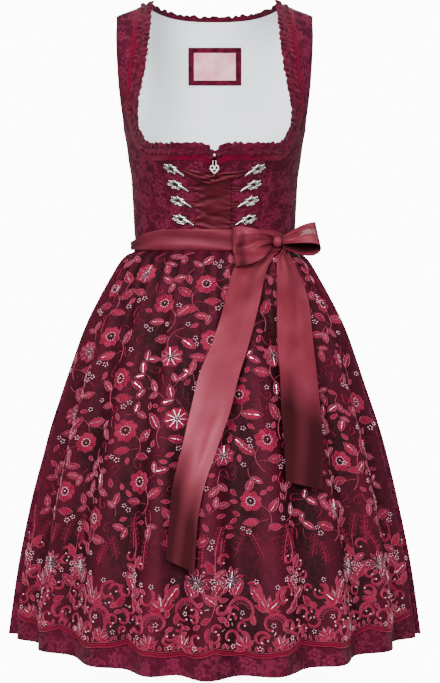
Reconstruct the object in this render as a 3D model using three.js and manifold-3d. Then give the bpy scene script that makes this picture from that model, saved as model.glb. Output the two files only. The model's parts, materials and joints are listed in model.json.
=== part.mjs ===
// A dirndl dress with its apron, as worn but empty: a fitted bodice with princess seams, hooks and
// ribbon lacing, a gathered skirt, a gathered apron with a scalloped edge, and a satin sash tied in a bow.
//
// Units are millimetres and +Z is up. The front faces -Y and the wearer's left is +X. The origin lies
// midway between the shoulders, at the height of the straps' undersides, where the wearer carries it.
//
// Every panel of cloth is a thin wall on one of three surfaces: the torso, the skirt or the band around
// the waist. A point of a surface has an angle in degrees, 0 at the centre front, 90 at the wearer's
// left side and 180 at the centre back, and a row, which counts the rows of that surface's table.

import * as THREE from "three";
import { mergeVertices } from "three/addons/utils/BufferGeometryUtils.js";
import Module from "manifold-3d";

const wasm = await Module();
wasm.setup();

// ---------------------------------------------------------------- driving dimensions

const SEAM_GAP = 0.3; // between two panels that are sewn together
const CLOTH = 1.8; // outer cloth with its interfacing
const LINING = 1.0;
const LINING_LIFT = -CLOTH - SEAM_GAP; // its outer face, from the outer cloth's
const SATIN = 1.2; // satin ribbon, folded double
const LACE_THICKNESS = 1.0;
const SEAM_PLANE_REACH = 5; // how near to the plane of the side seams a wall's thickness turns into it

const WAIST_SEAM_Z = -399.4; // the bodice's lower edge
const SHOULDER_SLOPE = 0.36; // fall of the shoulder line, per mm outwards
const STRAP_MIDDLE_X = 141;
const SLOPE_FROM_Z = -120; // the shoulder's slope begins here
const SLOPE_FULL_Z = -20;
const UNDERARM_H = -200;
const FRONT_CORNER_H = -239; // where the front princess seam meets the neckline
const BACK_CORNER_H = -140; // where the back princess seam meets the armhole
const ZIP_OPENING = 3; // between the two front edges

const FOLDS = 20; // soft folds round the hem
const GATHERS = 40; // gathers round the waist seam
const COLUMNS_PER_GATHER = 3;
const APRON_COLUMNS = 24; // from the centre front to the apron's side edge
const APRON_LIFT = 4.2; // apron's outer face above the skirt
const SCALLOPS = 6; // large scallops along the apron's edge
const SCALLOP_DEPTH = 11;

const FRILL_PITCH = 17; // length of one wave of the neck frill
const FRILL_WAVE = 2.4; // height of a wave
const FRILL_LIFT = { front: 0.7, back: 1.1 }; // of the frill's stitched middle above the bodice

const WAISTBAND = {
  bottom: -405,
  top: -370,
  narrowTop: -390,
  fullAngle: 34, // within which it is full height
  halfAngle: 82, // where the tie begins
  lift: 8, // of its outer face above the waist seam
  thickness: 1.8,
};

const KNOT = { x: 100, z: -391, half: 8, height: 9.5, depth: 8.5 };

// ---------------------------------------------------------------- tables of sections

/** Numbers a table's rows, so that a row number can be its key. */
const numbered = (table) => table.map((section, row) => ({ ...section, row }));

// Torso sections. h: height, which is z where the shoulder doesn't slope. half: half width.
// front, back: depth from the side seams. square: exponent of the section, 2 is an ellipse.
const TORSO = numbered([
  { h: -399.4, half: 136.5, front: 90, back: 82, square: 2.05 },
  { h: -386, half: 137, front: 90, back: 82, square: 2.05 },
  { h: -366, half: 138.5, front: 92, back: 83, square: 2.05 },
  { h: -343, half: 139.5, front: 97, back: 85, square: 2.05 },
  { h: -315, half: 141, front: 105, back: 89, square: 2.08 },
  { h: -285, half: 142.5, front: 116, back: 94, square: 2.1 },
  { h: -255, half: 147, front: 128, back: 99, square: 2.1 },
  { h: -225, half: 151, front: 133, back: 103, square: 2.12 },
  { h: -200, half: 156, front: 131, back: 106, square: 2.2 },
  { h: -175, half: 165, front: 125, back: 108, square: 2.35 },
  { h: -150, half: 171.5, front: 116, back: 109, square: 2.5 },
  { h: -120, half: 176, front: 103, back: 108, square: 2.75 },
  { h: -90, half: 178.5, front: 90, back: 104, square: 3.0 },
  { h: -60, half: 180, front: 74, back: 95, square: 3.3 },
  { h: -35, half: 180.5, front: 57, back: 80, square: 3.7 },
  { h: -15, half: 181, front: 38, back: 57, square: 3.9 },
  { h: -3, half: 182.5, front: 21, back: 32, square: 4 },
  { h: 1.5, half: 183.5, front: 9, back: 13, square: 4 },
  { h: 2.5, half: 183.5, front: 0, back: 0, square: 4 },
]);
const RIDGE_ROW = TORSO.length - 1 - 0.04; // the shoulder seam, less half a seam gap

// Front panels: x of the princess seam, and above FRONT_CORNER_H of the neckline, at height h.
const FRONT_PRINCESS = [
  { h: -399.4, x: 76 },
  { h: -370, x: 76 },
  { h: -340, x: 79 },
  { h: -310, x: 84 },
  { h: -280, x: 91 },
  { h: -258, x: 98 },
  { h: -239, x: 107 },
];
const NECKLINE = [
  { h: -239, x: 107 },
  { h: -231, x: 116 },
  { h: -220, x: 123 },
  { h: -203, x: 130 },
  { h: -185, x: 134 },
  { h: -165, x: 134.5 },
  { h: -140, x: 132 },
  { h: -110, x: 127.5 },
  { h: -80, x: 123.5 },
  { h: -45, x: 120 },
  { h: -15, x: 117 },
  { h: 2.5, x: 115.5 },
];
// Height of the front neckline between the princess seams, by share of the way out from the centre.
const NECK_BOTTOM = [
  { share: 0, h: -247.5 },
  { share: 0.06, h: -245 },
  { share: 0.15, h: -240.5 },
  { share: 0.6, h: -240 },
  { share: 1, h: -239 },
];
const BACK_PRINCESS = [
  { h: -399.4, x: 58 },
  { h: -340, x: 61 },
  { h: -290, x: 70 },
  { h: -240, x: 87 },
  { h: -200, x: 108 },
  { h: -165, x: 136 },
  { h: -140, x: 156.6 },
];
// Armhole edge: share of the section's depth that is cut away in front and behind.
const ARMHOLE = [
  { h: -200, front: 0, back: 0 },
  { h: -194, front: 0.2, back: 0.18 },
  { h: -180, front: 0.36, back: 0.33 },
  { h: -150, front: 0.48, back: 0.45 },
  { h: -110, front: 0.57, back: 0.52 },
  { h: -70, front: 0.63, back: 0.58 },
  { h: -30, front: 0.7, back: 0.68 },
  { h: 2.5, front: 0.75, back: 0.75 },
];
const BACK_NECK = { centreZ: -6, shoulderZ: 11.5, power: 3 };

// Skirt sections. drop: below the waist seam. lens: 1 is an ellipse, and more draws the sides to a fold.
// fold, gather, apron: heights of the skirt's folds, of its gathers, and of the apron's gathers.
const SKIRT = numbered([
  { drop: 0, half: 136.5, front: 90, back: 82, lens: 1, fold: 0, gather: 0.8, apron: 0.3 },
  { drop: 6.5, half: 137.2, front: 90.6, back: 83, lens: 1, fold: 0, gather: 1.2, apron: 0.4 },
  { drop: 14, half: 151, front: 101, back: 95, lens: 1, fold: 0.2, gather: 2.0, apron: 0.9 },
  { drop: 25, half: 160, front: 111, back: 105, lens: 1, fold: 0.6, gather: 3.0, apron: 1.5 },
  { drop: 50, half: 174, front: 127, back: 121, lens: 1.03, fold: 1.5, gather: 3.6, apron: 1.8 },
  { drop: 94, half: 198, front: 150, back: 146, lens: 1.08, fold: 3, gather: 2.8, apron: 1.5 },
  { drop: 143, half: 222, front: 172, back: 170, lens: 1.15, fold: 4.5, gather: 1.6, apron: 0.9 },
  { drop: 200, half: 243, front: 194, back: 193, lens: 1.25, fold: 6, gather: 0.6, apron: 0.4 },
  { drop: 260, half: 263, front: 213, back: 213, lens: 1.35, fold: 7.5, gather: 0, apron: 0 },
  { drop: 320, half: 282, front: 230, back: 231, lens: 1.45, fold: 8.5, gather: 0, apron: 0 },
  { drop: 390, half: 299.5, front: 248, back: 249, lens: 1.57, fold: 9.5, gather: 0, apron: 0 },
  { drop: 470, half: 317, front: 267, back: 268, lens: 1.68, fold: 10.5, gather: 0, apron: 0 },
  { drop: 560, half: 334, front: 287, back: 286, lens: 1.78, fold: 11.5, gather: 0, apron: 0 },
  { drop: 672, half: 350, front: 307, back: 303, lens: 1.85, fold: 12, gather: 0, apron: 0 },
]);
const SKIRT_ROWS = [0, 1, 2, 3, 4.5, 6, 8, 10.5, 13];
const APRON_TOP_DROP = 1.2;
const APRON_EDGE_DROP = 643; // scallops' lowest points, at the centre front

// Sash ends. drop: below the waist seam. x: middle of the ribbon. width: across it.
const TAIL_RIGHT = [
  { drop: 2.6, x: 95, width: 11 },
  { drop: 18, x: 77, width: 30 },
  { drop: 34, x: 56.5, width: 52 },
  { drop: 92, x: 42, width: 53 },
  { drop: 150, x: 26, width: 56.5 },
  { drop: 207, x: 6.5, width: 61 },
  { drop: 260, x: -6, width: 60 },
  { drop: 310, x: -20, width: 54 },
  { drop: 389, x: -41, width: 46 },
  { drop: 432, x: -46, width: 42 },
  { drop: 497, x: -50, width: 42 },
];
const TAIL_LEFT = [
  { drop: 2.6, x: 108, width: 10 },
  { drop: 18, x: 109.5, width: 22 },
  { drop: 34, x: 112.5, width: 31 },
  { drop: 92, x: 121, width: 50 },
  { drop: 140, x: 123.5, width: 56 },
  { drop: 207, x: 129, width: 58 },
  { drop: 260, x: 132, width: 60 },
  { drop: 311, x: 135, width: 59 },
  { drop: 380, x: 136, width: 56 },
];
const TAIL_CLEARANCE = 1; // a sash end above the apron's highest folds
const TAIL_AT_KNOT = 9; // more where it comes out of the knot
const TAIL_SLANT = 9; // its end is cut at a slant, this much over half its width

// Hooks, in pairs from the top down: height and distance from the centre front.
const HOOK_ROWS = [
  { z: -270, x: 71 },
  { z: -296, x: 64.5 },
  { z: -322.5, x: 60 },
  { z: -353, x: 56.5 },
];

// ---------------------------------------------------------------- small maths

const clamp = (value, low, high) => Math.min(high, Math.max(low, value));
const mix = (a, b, share) => a + (b - a) * share;
const radians = (degrees) => (degrees * Math.PI) / 180;
const degrees = (angle) => (angle * 180) / Math.PI;
const counted = (count) => Array.from({ length: count + 1 }, (_, i) => i);

function smoothstep(low, high, value) {
  const share = clamp((value - low) / (high - low), 0, 1);
  return share * share * (3 - 2 * share);
}

/** A power that keeps its base's sign. */
const signedPower = (base, power) => Math.sign(base) * Math.abs(base) ** power;

/** Reads one column of a table where its key column has a value, on a smooth curve that never overshoots. */
function along(table, key, column, value) {
  let i = 0;
  while (i < table.length - 2 && value > table[i + 1][key]) i++;
  const rise = (k) => (table[k + 1][column] - table[k][column]) / (table[k + 1][key] - table[k][key]);
  const tangent = (k) => {
    if (k === 0) return rise(0);
    if (k === table.length - 1) return rise(k - 1);
    const [before, after] = [rise(k - 1), rise(k)];
    return before * after <= 0 ? 0 : (2 * before * after) / (before + after);
  };
  const span = table[i + 1][key] - table[i][key];
  const t = clamp((value - table[i][key]) / span, 0, 1);
  return (
    table[i][column] * (1 + 2 * t) * (1 - t) ** 2 +
    table[i + 1][column] * t * t * (3 - 2 * t) +
    span * t * (1 - t) * (tangent(i) * (1 - t) - tangent(i + 1) * t)
  );
}

/** The value between low and high where a rising function reaches a target, by halving. */
function solve(rising, target, low, high) {
  for (let i = 0; i < 40; i++) {
    const middle = (low + high) / 2;
    if (rising(middle) < target) low = middle;
    else high = middle;
  }
  return (low + high) / 2;
}

// ---------------------------------------------------------------- surfaces

/** The torso, with a low swell in front where the princess seams shape the bust. */
function torso(angle, row) {
  const [sine, cosine] = [Math.sin(radians(angle)), Math.cos(radians(angle))];
  const section = (column) => along(TORSO, "row", column, row);
  const power = 2 / section("square");
  const h = section("h");
  const x = section("half") * signedPower(sine, power);
  let y = -section(cosine > 0 ? "front" : "back") * signedPower(cosine, power);
  if (cosine > 0) y -= 7 * Math.exp(-(((Math.abs(x) - 72) / 36) ** 2) - ((h + 232) / 42) ** 2);
  const slope = SHOULDER_SLOPE * smoothstep(SLOPE_FROM_Z, SLOPE_FULL_Z, h);
  return new THREE.Vector3(x, y, h - slope * (Math.abs(x) - STRAP_MIDDLE_X));
}

const torsoRow = (h) => along(TORSO, "h", "row", h);

/** The torso's angle at a distance from the middle, in front, for a row. */
function frontAngle(x, row) {
  const [half, square] = ["half", "square"].map((column) => along(TORSO, "row", column, row));
  return Math.sign(x) * degrees(Math.asin(clamp(Math.abs(x) / half, 0, 1) ** (square / 2)));
}

/** The torso's angle where the armhole is cut, on the wearer's left, in front or behind. */
function armholeAngle(row, column) {
  const share = along(ARMHOLE, "h", column, along(TORSO, "row", "h", row));
  const fromFront = degrees(Math.acos(share ** (along(TORSO, "row", "square", row) / 2)));
  return column === "front" ? fromFront : 180 - fromFront;
}

/** The torso's angle and row at a place seen from the front, or from behind. */
function torsoPlace(x, z, behind = false) {
  const place = (row) => {
    const angle = frontAngle(x, row);
    return [behind ? 180 - angle : angle, row];
  };
  return place(solve((row) => torso(...place(row)).z, z, 0, RIDGE_ROW));
}

/** The irregular angle that sets folds and gathers unevenly round the skirt. */
const unevenAngle = (angle) =>
  radians(angle) + 0.03 * Math.sin(radians(3 * angle + 40)) + 0.018 * Math.sin(radians(7 * angle + 110));

/** How far the skirt's folds stand out at a place. */
function foldHeight(angle, row) {
  const size = 1 + 0.22 * Math.sin(radians(2 * angle + 60)) + 0.16 * Math.cos(radians(7 * angle));
  return along(SKIRT, "row", "fold", row) * size * Math.cos(FOLDS * unevenAngle(angle));
}

/** The skirt's smooth ring, moved out by a distance. */
function skirtRing(angle, row, out) {
  const section = (column) => along(SKIRT, "row", column, row);
  const [sine, cosine] = [Math.sin(radians(angle)), Math.cos(radians(angle))];
  const depth = section(cosine > 0 ? "front" : "back");
  const outward = new THREE.Vector2(sine / section("half"), -cosine / depth).normalize();
  return new THREE.Vector3(
    section("half") * sine + out * outward.x,
    -depth * signedPower(cosine, section("lens")) + out * outward.y,
    WAIST_SEAM_Z - SEAM_GAP - section("drop"),
  );
}

const skirtRow = (drop) => along(SKIRT, "drop", "row", drop);
const APRON_HALF_ANGLE = (APRON_COLUMNS * 360) / (GATHERS * COLUMNS_PER_GATHER);

/** The skirt, which is gathered where the apron leaves it bare. */
function skirt(angle, row) {
  const bare = smoothstep(APRON_HALF_ANGLE - 6, APRON_HALF_ANGLE + 2, Math.abs(angle));
  const gather = bare * along(SKIRT, "row", "gather", row) * Math.cos(GATHERS * unevenAngle(angle));
  return skirtRing(angle, row, foldHeight(angle, row) + gather);
}

/** The apron's outer face, which follows the skirt's folds and has gathers of its own. */
function apron(angle, row) {
  const gather = along(SKIRT, "row", "apron", row) * (1 + Math.cos(GATHERS * radians(angle)));
  return skirtRing(angle, row, foldHeight(angle, row) + APRON_LIFT + gather);
}

/** The sash's outer face round the waist, by angle and height. */
function sash(angle, z) {
  return new THREE.Vector3(
    (TORSO[0].half + WAISTBAND.lift) * Math.sin(radians(angle)),
    -(TORSO[0][Math.cos(radians(angle)) > 0 ? "front" : "back"] + WAISTBAND.lift) * Math.cos(radians(angle)),
    z,
  );
}

/** A surface's outward normal at a place, from its slopes. */
function normalOf(surface, a, b) {
  const step = 0.01;
  const across = surface(a + step, b).sub(surface(a - step, b));
  const upwards = surface(a, b + step).sub(surface(a, b - step));
  const normal = across.cross(upwards).normalize();
  const point = surface(a, b);
  // The first number runs round the body, so a normal that points at the body's axis is the inner one.
  return normal.x * point.x + normal.y * point.y < 0 ? normal.negate() : normal;
}

// ---------------------------------------------------------------- building walls

/** A closed geometry from rows of outer points and rows of inner points, numbered alike. */
function wallGeometry(outer, inner, ring = false) {
  const [rows, columns] = [outer.length, outer[0].length];
  const positions = [...outer.flat(), ...inner.flat()].flatMap((point) => point.toArray());
  const index = [];
  const at = (row, column, face) => face * rows * columns + row * columns + (column % columns);
  const quad = (a, b, c, d) => index.push(a, b, c, a, c, d);
  const spans = ring ? columns : columns - 1;
  for (let i = 0; i < rows - 1; i++) {
    for (let j = 0; j < spans; j++) {
      quad(at(i, j, 0), at(i, j + 1, 0), at(i + 1, j + 1, 0), at(i + 1, j, 0));
      quad(at(i, j, 1), at(i + 1, j, 1), at(i + 1, j + 1, 1), at(i, j + 1, 1));
    }
  }
  for (let j = 0; j < spans; j++) {
    quad(at(0, j, 0), at(0, j, 1), at(0, j + 1, 1), at(0, j + 1, 0));
    quad(at(rows - 1, j, 0), at(rows - 1, j + 1, 0), at(rows - 1, j + 1, 1), at(rows - 1, j, 1));
  }
  for (let i = 0; i < rows - 1 && !ring; i++) {
    quad(at(i, 0, 0), at(i + 1, 0, 0), at(i + 1, 0, 1), at(i, 0, 1));
    quad(at(i, columns - 1, 0), at(i, columns - 1, 1), at(i + 1, columns - 1, 1), at(i + 1, columns - 1, 0));
  }
  const geometry = new THREE.BufferGeometry();
  geometry.setAttribute("position", new THREE.Float32BufferAttribute(positions, 3));
  geometry.setIndex(index);
  return geometry;
}

/** The direction of a wall's thickness: the normal, turned into the plane of the side seams beside it. */
function thicknessAt(surface, a, b) {
  const normal = normalOf(surface, a, b);
  const beside = smoothstep(0, SEAM_PLANE_REACH, Math.abs(surface(a, b).y));
  return normal.setY(normal.y * beside).normalize();
}

/**
 * A wall of cloth on a surface: rows of places from the bottom up, each with angles that rise. Its first
 * and last columns may lie on seams: each is moved into the panel, along a direction, by half a gap.
 */
function clothOn(surface, places, thickness, lift = 0, seams = {}) {
  const point = (a, b, out, into) => {
    const direction = thicknessAt(surface, a, b);
    if (!into) return surface(a, b).addScaledVector(direction, out);
    direction.addScaledVector(into, -direction.dot(into)).normalize();
    return surface(a, b).addScaledVector(direction, out).addScaledVector(into, SEAM_GAP / 2);
  };
  const seamAt = (i, row) => (i === 0 ? seams.first : i === row.length - 1 ? seams.last : null);
  const layer = (out) => places.map((row) => row.map(([a, b], i) => point(a, b, out, seamAt(i, row))));
  return wallGeometry(layer(lift), layer(lift - thickness));
}

/** The same places on the wearer's other side. */
const mirrored = (places) => places.map((row) => row.map(([angle, b]) => [-angle, b]).reverse());

/** A free ribbon through rows of points: its thickness is laid behind the face that the rows show. */
function ribbon(points, thickness) {
  const normal = (i, j) => {
    const [up, down] = [points[Math.min(i + 1, points.length - 1)][j], points[Math.max(i - 1, 0)][j]];
    const row = points[i];
    const across = row[Math.min(j + 1, row.length - 1)].clone().sub(row[Math.max(j - 1, 0)]);
    return across.cross(up.clone().sub(down)).normalize();
  };
  const inner = points.map((row, i) => row.map((p, j) => p.clone().addScaledVector(normal(i, j), -thickness)));
  return wallGeometry(points, inner);
}

/** A geometry as a manifold solid, and back. */
function solidOf(geometry) {
  const bare = geometry.clone();
  bare.deleteAttribute("normal");
  bare.deleteAttribute("uv");
  const merged = mergeVertices(bare, 1e-3);
  const triVerts = new Uint32Array(merged.index.array);
  return new wasm.Manifold(
    new wasm.Mesh({ numProp: 3, vertProperties: merged.attributes.position.array, triVerts }),
  );
}
function geometryOf(solid) {
  const mesh = solid.getMesh();
  const geometry = new THREE.BufferGeometry();
  geometry.setAttribute("position", new THREE.BufferAttribute(mesh.vertProperties, 3));
  geometry.setIndex(new THREE.BufferAttribute(mesh.triVerts, 1));
  return geometry;
}

const FINISH = {
  brocade: { color: 0x5e1730, roughness: 0.62, metalness: 0 },
  lining: { color: 0xe6e9ee, roughness: 0.85, metalness: 0 },
  frill: { color: 0x6c1c38, roughness: 0.6, metalness: 0 },
  apron: { color: 0x4a0f22, roughness: 0.7, metalness: 0 },
  satin: { color: 0x8a2f42, roughness: 0.32, metalness: 0 },
  silver: { color: 0xcfcdc8, roughness: 0.28, metalness: 1 },
  label: { color: 0xd58ba0, roughness: 0.6, metalness: 0 },
  zip: { color: 0x34101c, roughness: 0.5, metalness: 0 },
};
const dress = new THREE.Group();

function addMesh(name, geometry, finish) {
  const material = new THREE.MeshStandardMaterial(FINISH[finish]);
  const mesh = new THREE.Mesh(geometry, material);
  mesh.name = name;
  dress.add(mesh);
  return mesh;
}

/** Adds a panel on the wearer's left and its mirror image on the right. */
function addPair(name, places, finish, thickness, lift = 0) {
  addMesh(`${name}_left`, clothOn(torso, places, thickness, lift), finish);
  addMesh(`${name}_right`, clothOn(torso, mirrored(places), thickness, lift), finish);
}

// ---------------------------------------------------------------- bodice panels

const SEAM_ROWS = 8; // rows from the waist seam up to a panel's upper corner
const CORNER_ROW = torsoRow(FRONT_CORNER_H);
const BACK_CORNER_ROW = torsoRow(BACK_CORNER_H);
const UNDERARM_ROW = torsoRow(UNDERARM_H);

/** An angle moved round the torso by a distance. */
function shifted(angle, row, distance) {
  const step = 0.05;
  const speed = torso(angle + step, row).distanceTo(torso(angle - step, row)) / (2 * step);
  return angle + distance / Math.max(speed, 0.2);
}

const princessAngle = (row) => frontAngle(along(FRONT_PRINCESS, "h", "x", along(TORSO, "row", "h", row)), row);
const neckAngle = (row) => frontAngle(along(NECKLINE, "h", "x", along(TORSO, "row", "h", row)), row);
const backPrincessAngle = (row) =>
  180 - frontAngle(along(BACK_PRINCESS, "h", "x", along(TORSO, "row", "h", row)), row);

/** Row numbers from one to another, ends included. */
const rowsBetween = (low, high, count) => counted(count).map((i) => mix(low, high, i / count));

function frontCentrePlaces() {
  const columns = 6;
  const topRow = (share) => torsoRow(along(NECK_BOTTOM, "share", "h", share));
  return counted(SEAM_ROWS).map((j) =>
    counted(columns).map((i) => {
      const share = (i / columns) ** 1.15;
      const row = (topRow(share) * j) / SEAM_ROWS;
      const inner = frontAngle(ZIP_OPENING / 2, row);
      const outer = shifted(princessAngle(row), row, -SEAM_GAP / 2);
      return [mix(inner, outer, share), row];
    }),
  );
}

function frontSidePlaces() {
  const columns = 6;
  const upper = 9;
  const lowerEdges = counted(SEAM_ROWS).map((j) => {
    const [inner, outer] = [(CORNER_ROW * j) / SEAM_ROWS, (UNDERARM_ROW * j) / SEAM_ROWS];
    return [
      [shifted(princessAngle(inner), inner, SEAM_GAP / 2), inner],
      [shifted(90, outer, -SEAM_GAP / 2), outer],
    ];
  });
  const upperEdges = counted(upper).slice(1).map((j) => {
    const [inner, outer] = [CORNER_ROW, UNDERARM_ROW].map((low) => mix(low, RIDGE_ROW, j / upper));
    return [
      [neckAngle(inner), inner],
      [armholeAngle(outer, "front"), outer],
    ];
  });
  return [...lowerEdges, ...upperEdges].map(([inner, outer]) =>
    counted(columns).map((i) => [0, 1].map((k) => mix(inner[k], outer[k], i / columns))),
  );
}

function backSidePlaces() {
  const columns = 4;
  const seamAngle = (row) => shifted(90, row, SEAM_GAP / 2);
  const places = (i) => {
    const topRow = mix(UNDERARM_ROW, BACK_CORNER_ROW, i / columns);
    const princess = (row) => shifted(backPrincessAngle(row), row, -SEAM_GAP / 2);
    const [side, inner] = [seamAngle(topRow), princess(topRow)];
    const edge = i === 0 ? side : i === columns ? inner : armholeAngle(topRow, "back");
    const topShare = (edge - side) / (inner - side);
    return counted(SEAM_ROWS).map((j) => {
      const row = (topRow * j) / SEAM_ROWS;
      const share = mix(i / columns, topShare, (j / SEAM_ROWS) ** 2);
      return [mix(seamAngle(row), princess(row), share), row];
    });
  };
  const byColumn = counted(columns).map(places);
  return counted(SEAM_ROWS).map((j) => byColumn.map((column) => column[j]));
}

/** The back's upper edge at a distance from the middle: the neckline, then the shoulder seam. */
function backTopRow(edgeAngle, share) {
  const angle = (row) => 180 + share * (180 - edgeAngle(row));
  const above = (row) => {
    const point = torso(angle(row), row);
    const out = clamp(Math.abs(point.x) / NECKLINE.at(-1).x, 0, 1);
    return point.z - mix(BACK_NECK.centreZ, BACK_NECK.shoulderZ, out ** BACK_NECK.power);
  };
  return Math.min(RIDGE_ROW, solve(above, 0, BACK_CORNER_ROW, RIDGE_ROW + 0.01));
}

/** Places across the whole back, from the wearer's left edge to the right one. */
function backPlaces(edgeAngle, lower, upper, cornerRow, shares) {
  const tops = shares.map((share) => backTopRow(edgeAngle, share));
  const rows = (k) => [
    ...rowsBetween(0, cornerRow, lower),
    ...rowsBetween(cornerRow, tops[k], upper).slice(1),
  ];
  const byColumn = shares.map((share, k) => rows(k).map((row) => [180 + share * (180 - edgeAngle(row)), row]));
  return counted(lower + upper).map((j) => byColumn.map((column) => column[j]));
}

/** Shares of the back's half width from one edge to the other, with the neckline's corners among them. */
function backShares(neckColumns, strapColumns) {
  const corner = solve((share) => torso(180 - share * (180 - armholeAngle(RIDGE_ROW, "back")), RIDGE_ROW).x,
    NECKLINE.at(-1).x, 0, 1);
  const half = [
    ...rowsBetween(0, corner, neckColumns),
    ...rowsBetween(corner, 1, strapColumns).slice(1),
  ];
  return [...half.slice(1).reverse().map((share) => -share), ...half];
}

const backCentreEdge = (row) =>
  row <= BACK_CORNER_ROW
    ? shifted(backPrincessAngle(row), row, SEAM_GAP / 2)
    : armholeAngle(row, "back");

addPair("front_centre", frontCentrePlaces(), "brocade", CLOTH);
addPair("front_side", frontSidePlaces(), "brocade", CLOTH);
addPair("back_side", backSidePlaces(), "brocade", CLOTH);
const backCentrePlaces = backPlaces(backCentreEdge, SEAM_ROWS, 7, BACK_CORNER_ROW, backShares(4, 3));
addMesh("back_centre", clothOn(torso, backCentrePlaces, CLOTH), "brocade");

// The lining is cut as the back panels are, and lies inside them.
addPair("lining_side", backSidePlaces(), "lining", LINING, LINING_LIFT);
addMesh("lining_back", clothOn(torso, backCentrePlaces, LINING, LINING_LIFT), "lining");

// ---------------------------------------------------------------- maker's patch inside the back

function patchPlaces(halfWidth, halfHeight, middleZ) {
  return [-1, 0, 1].map((up) =>
    counted(6).map((i) => torsoPlace(mix(halfWidth, -halfWidth, i / 6), middleZ + up * halfHeight, true)),
  );
}
const PATCH = { halfWidth: 47, halfHeight: 33, z: -82, face: 37, faceHeight: 24 };
const PATCH_LIFT = LINING_LIFT - LINING - 1; // its outer side lies against the lining
addMesh(
  "patch_border",
  clothOn(torso, patchPlaces(PATCH.halfWidth, PATCH.halfHeight, PATCH.z), 1, PATCH_LIFT),
  "frill",
);
addMesh(
  "patch_face",
  clothOn(torso, patchPlaces(PATCH.face, PATCH.faceHeight, PATCH.z), 1, PATCH_LIFT - 1.4),
  "label",
);

// ---------------------------------------------------------------- neck frill

/** The point, normal and garment-side direction along an edge that is given as places. */
function edgeFrames(places) {
  const points = places.map(([angle, row]) => torso(angle, row));
  return places.map(([angle, row], i) => {
    const ahead = points[Math.min(i + 1, points.length - 1)];
    const behind = points[Math.max(i - 1, 0)];
    const normal = normalOf(torso, angle, row);
    const forward = ahead.clone().sub(behind).normalize();
    return { point: points[i], normal, inward: forward.clone().cross(normal).normalize() };
  });
}

/** A line of points again, with a whole number of even steps. */
function evenly(line, step, point) {
  const reach = [0];
  for (let i = 1; i < line.length; i++) {
    reach.push(reach[i - 1] + point(line[i]).distanceTo(point(line[i - 1])));
  }
  const count = Math.round(reach.at(-1) / step);
  return counted(count).map((k) => {
    const wanted = (reach.at(-1) * k) / count;
    const i = clamp(reach.findIndex((r) => r >= wanted) - 1, 0, line.length - 2);
    const share = (wanted - reach[i]) / (reach[i + 1] - reach[i]);
    return line[i].map((value, m) => mix(value, line[i + 1][m], share));
  });
}

/** A frill on a bodice edge: stitched flat down its middle, with waves that open towards both sides. */
function frill(edge, lift, widthAt) {
  const columnsPerWave = 3;
  const places = evenly(edge, FRILL_PITCH / columnsPerWave, (place) => torso(...place));
  const frames = edgeFrames(places);
  const rows = [-1, 0, 1].map((side) =>
    frames.map(({ point, normal, inward }, i) => {
      const phase = (2 * Math.PI * i) / columnsPerWave + (side > 0 ? 1.6 : 0.4);
      const wave = side === 0 ? 0 : FRILL_WAVE * (1 + Math.sin(phase));
      const width = side * widthAt(side, i / (frames.length - 1));
      return point
        .clone()
        .addScaledVector(inward, width)
        .addScaledVector(normal, lift + wave);
    }),
  );
  return ribbon(rows, SATIN);
}

const FRILL_HALF_GAP = 1; // between the frill's two ends at the centre front, halved
const FRILL_HALF = { notch: 4.6, bottom: 12.2, strap: 13.5, back: 9 };

// The front frill starts at the centre, where its upper half is cut to a notch, and ends at the shoulder.
function frontNeckEdge() {
  const bottom = counted(24).map((i) => {
    const share = i / 24;
    const row = torsoRow(along(NECK_BOTTOM, "share", "h", share));
    return [mix(frontAngle(FRILL_HALF_GAP, row), princessAngle(row), share), row];
  });
  const rise = rowsBetween(CORNER_ROW, RIDGE_ROW, 60).slice(1).map((row) => [neckAngle(row), row]);
  return [...bottom, ...rise];
}
const frontFrillWidth = (side, share) =>
  share < 0.3
    ? mix(FRILL_HALF.notch, FRILL_HALF.bottom, smoothstep(0, 0.05, share))
    : mix(FRILL_HALF.bottom, FRILL_HALF.strap, smoothstep(0.3, 0.7, share));
function backNeckEdge() {
  const shares = backShares(10, 1).filter((share) => Math.abs(share) < 0.999);
  return shares.map((share) => {
    const row = backTopRow(backCentreEdge, share);
    return [180 + share * (180 - backCentreEdge(row)), row];
  });
}
const leftEdge = frontNeckEdge();
const rightEdge = leftEdge.map(([angle, row]) => [-angle, row]).reverse();
const leftFrill = frill(leftEdge, FRILL_LIFT.front, frontFrillWidth);
const rightFrill = frill(rightEdge, FRILL_LIFT.front, (side, share) => frontFrillWidth(side, 1 - share));
addMesh("frill_front_left", leftFrill, "frill");
addMesh("frill_front_right", rightFrill, "frill");
addMesh("frill_back", frill(backNeckEdge(), FRILL_LIFT.back, () => FRILL_HALF.back), "frill");

// ---------------------------------------------------------------- skirt and apron

const COLUMN_ANGLE = 360 / (GATHERS * COLUMNS_PER_GATHER);
const rowsUp = [...SKIRT_ROWS].reverse();

const FORWARDS = new THREE.Vector3(0, -1, 0);
const BACKWARDS = new THREE.Vector3(0, 1, 0);
const TO_LEFT = new THREE.Vector3(1, 0, 0);
const TO_RIGHT = new THREE.Vector3(-1, 0, 0);
const SKIRT_PANELS = [
  { name: "skirt_front", from: -90, to: 90, first: FORWARDS, last: FORWARDS },
  { name: "skirt_back_left", from: 90, to: 180, first: BACKWARDS, last: TO_LEFT },
  { name: "skirt_back_right", from: 180, to: 270, first: TO_RIGHT, last: BACKWARDS },
];
for (const panel of SKIRT_PANELS) {
  const count = Math.round((panel.to - panel.from) / COLUMN_ANGLE);
  const places = rowsUp.map((row) => counted(count).map((i) => [mix(panel.from, panel.to, i / count), row]));
  addMesh(panel.name, clothOn(skirt, places, CLOTH, 0, panel), "brocade");
}

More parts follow.
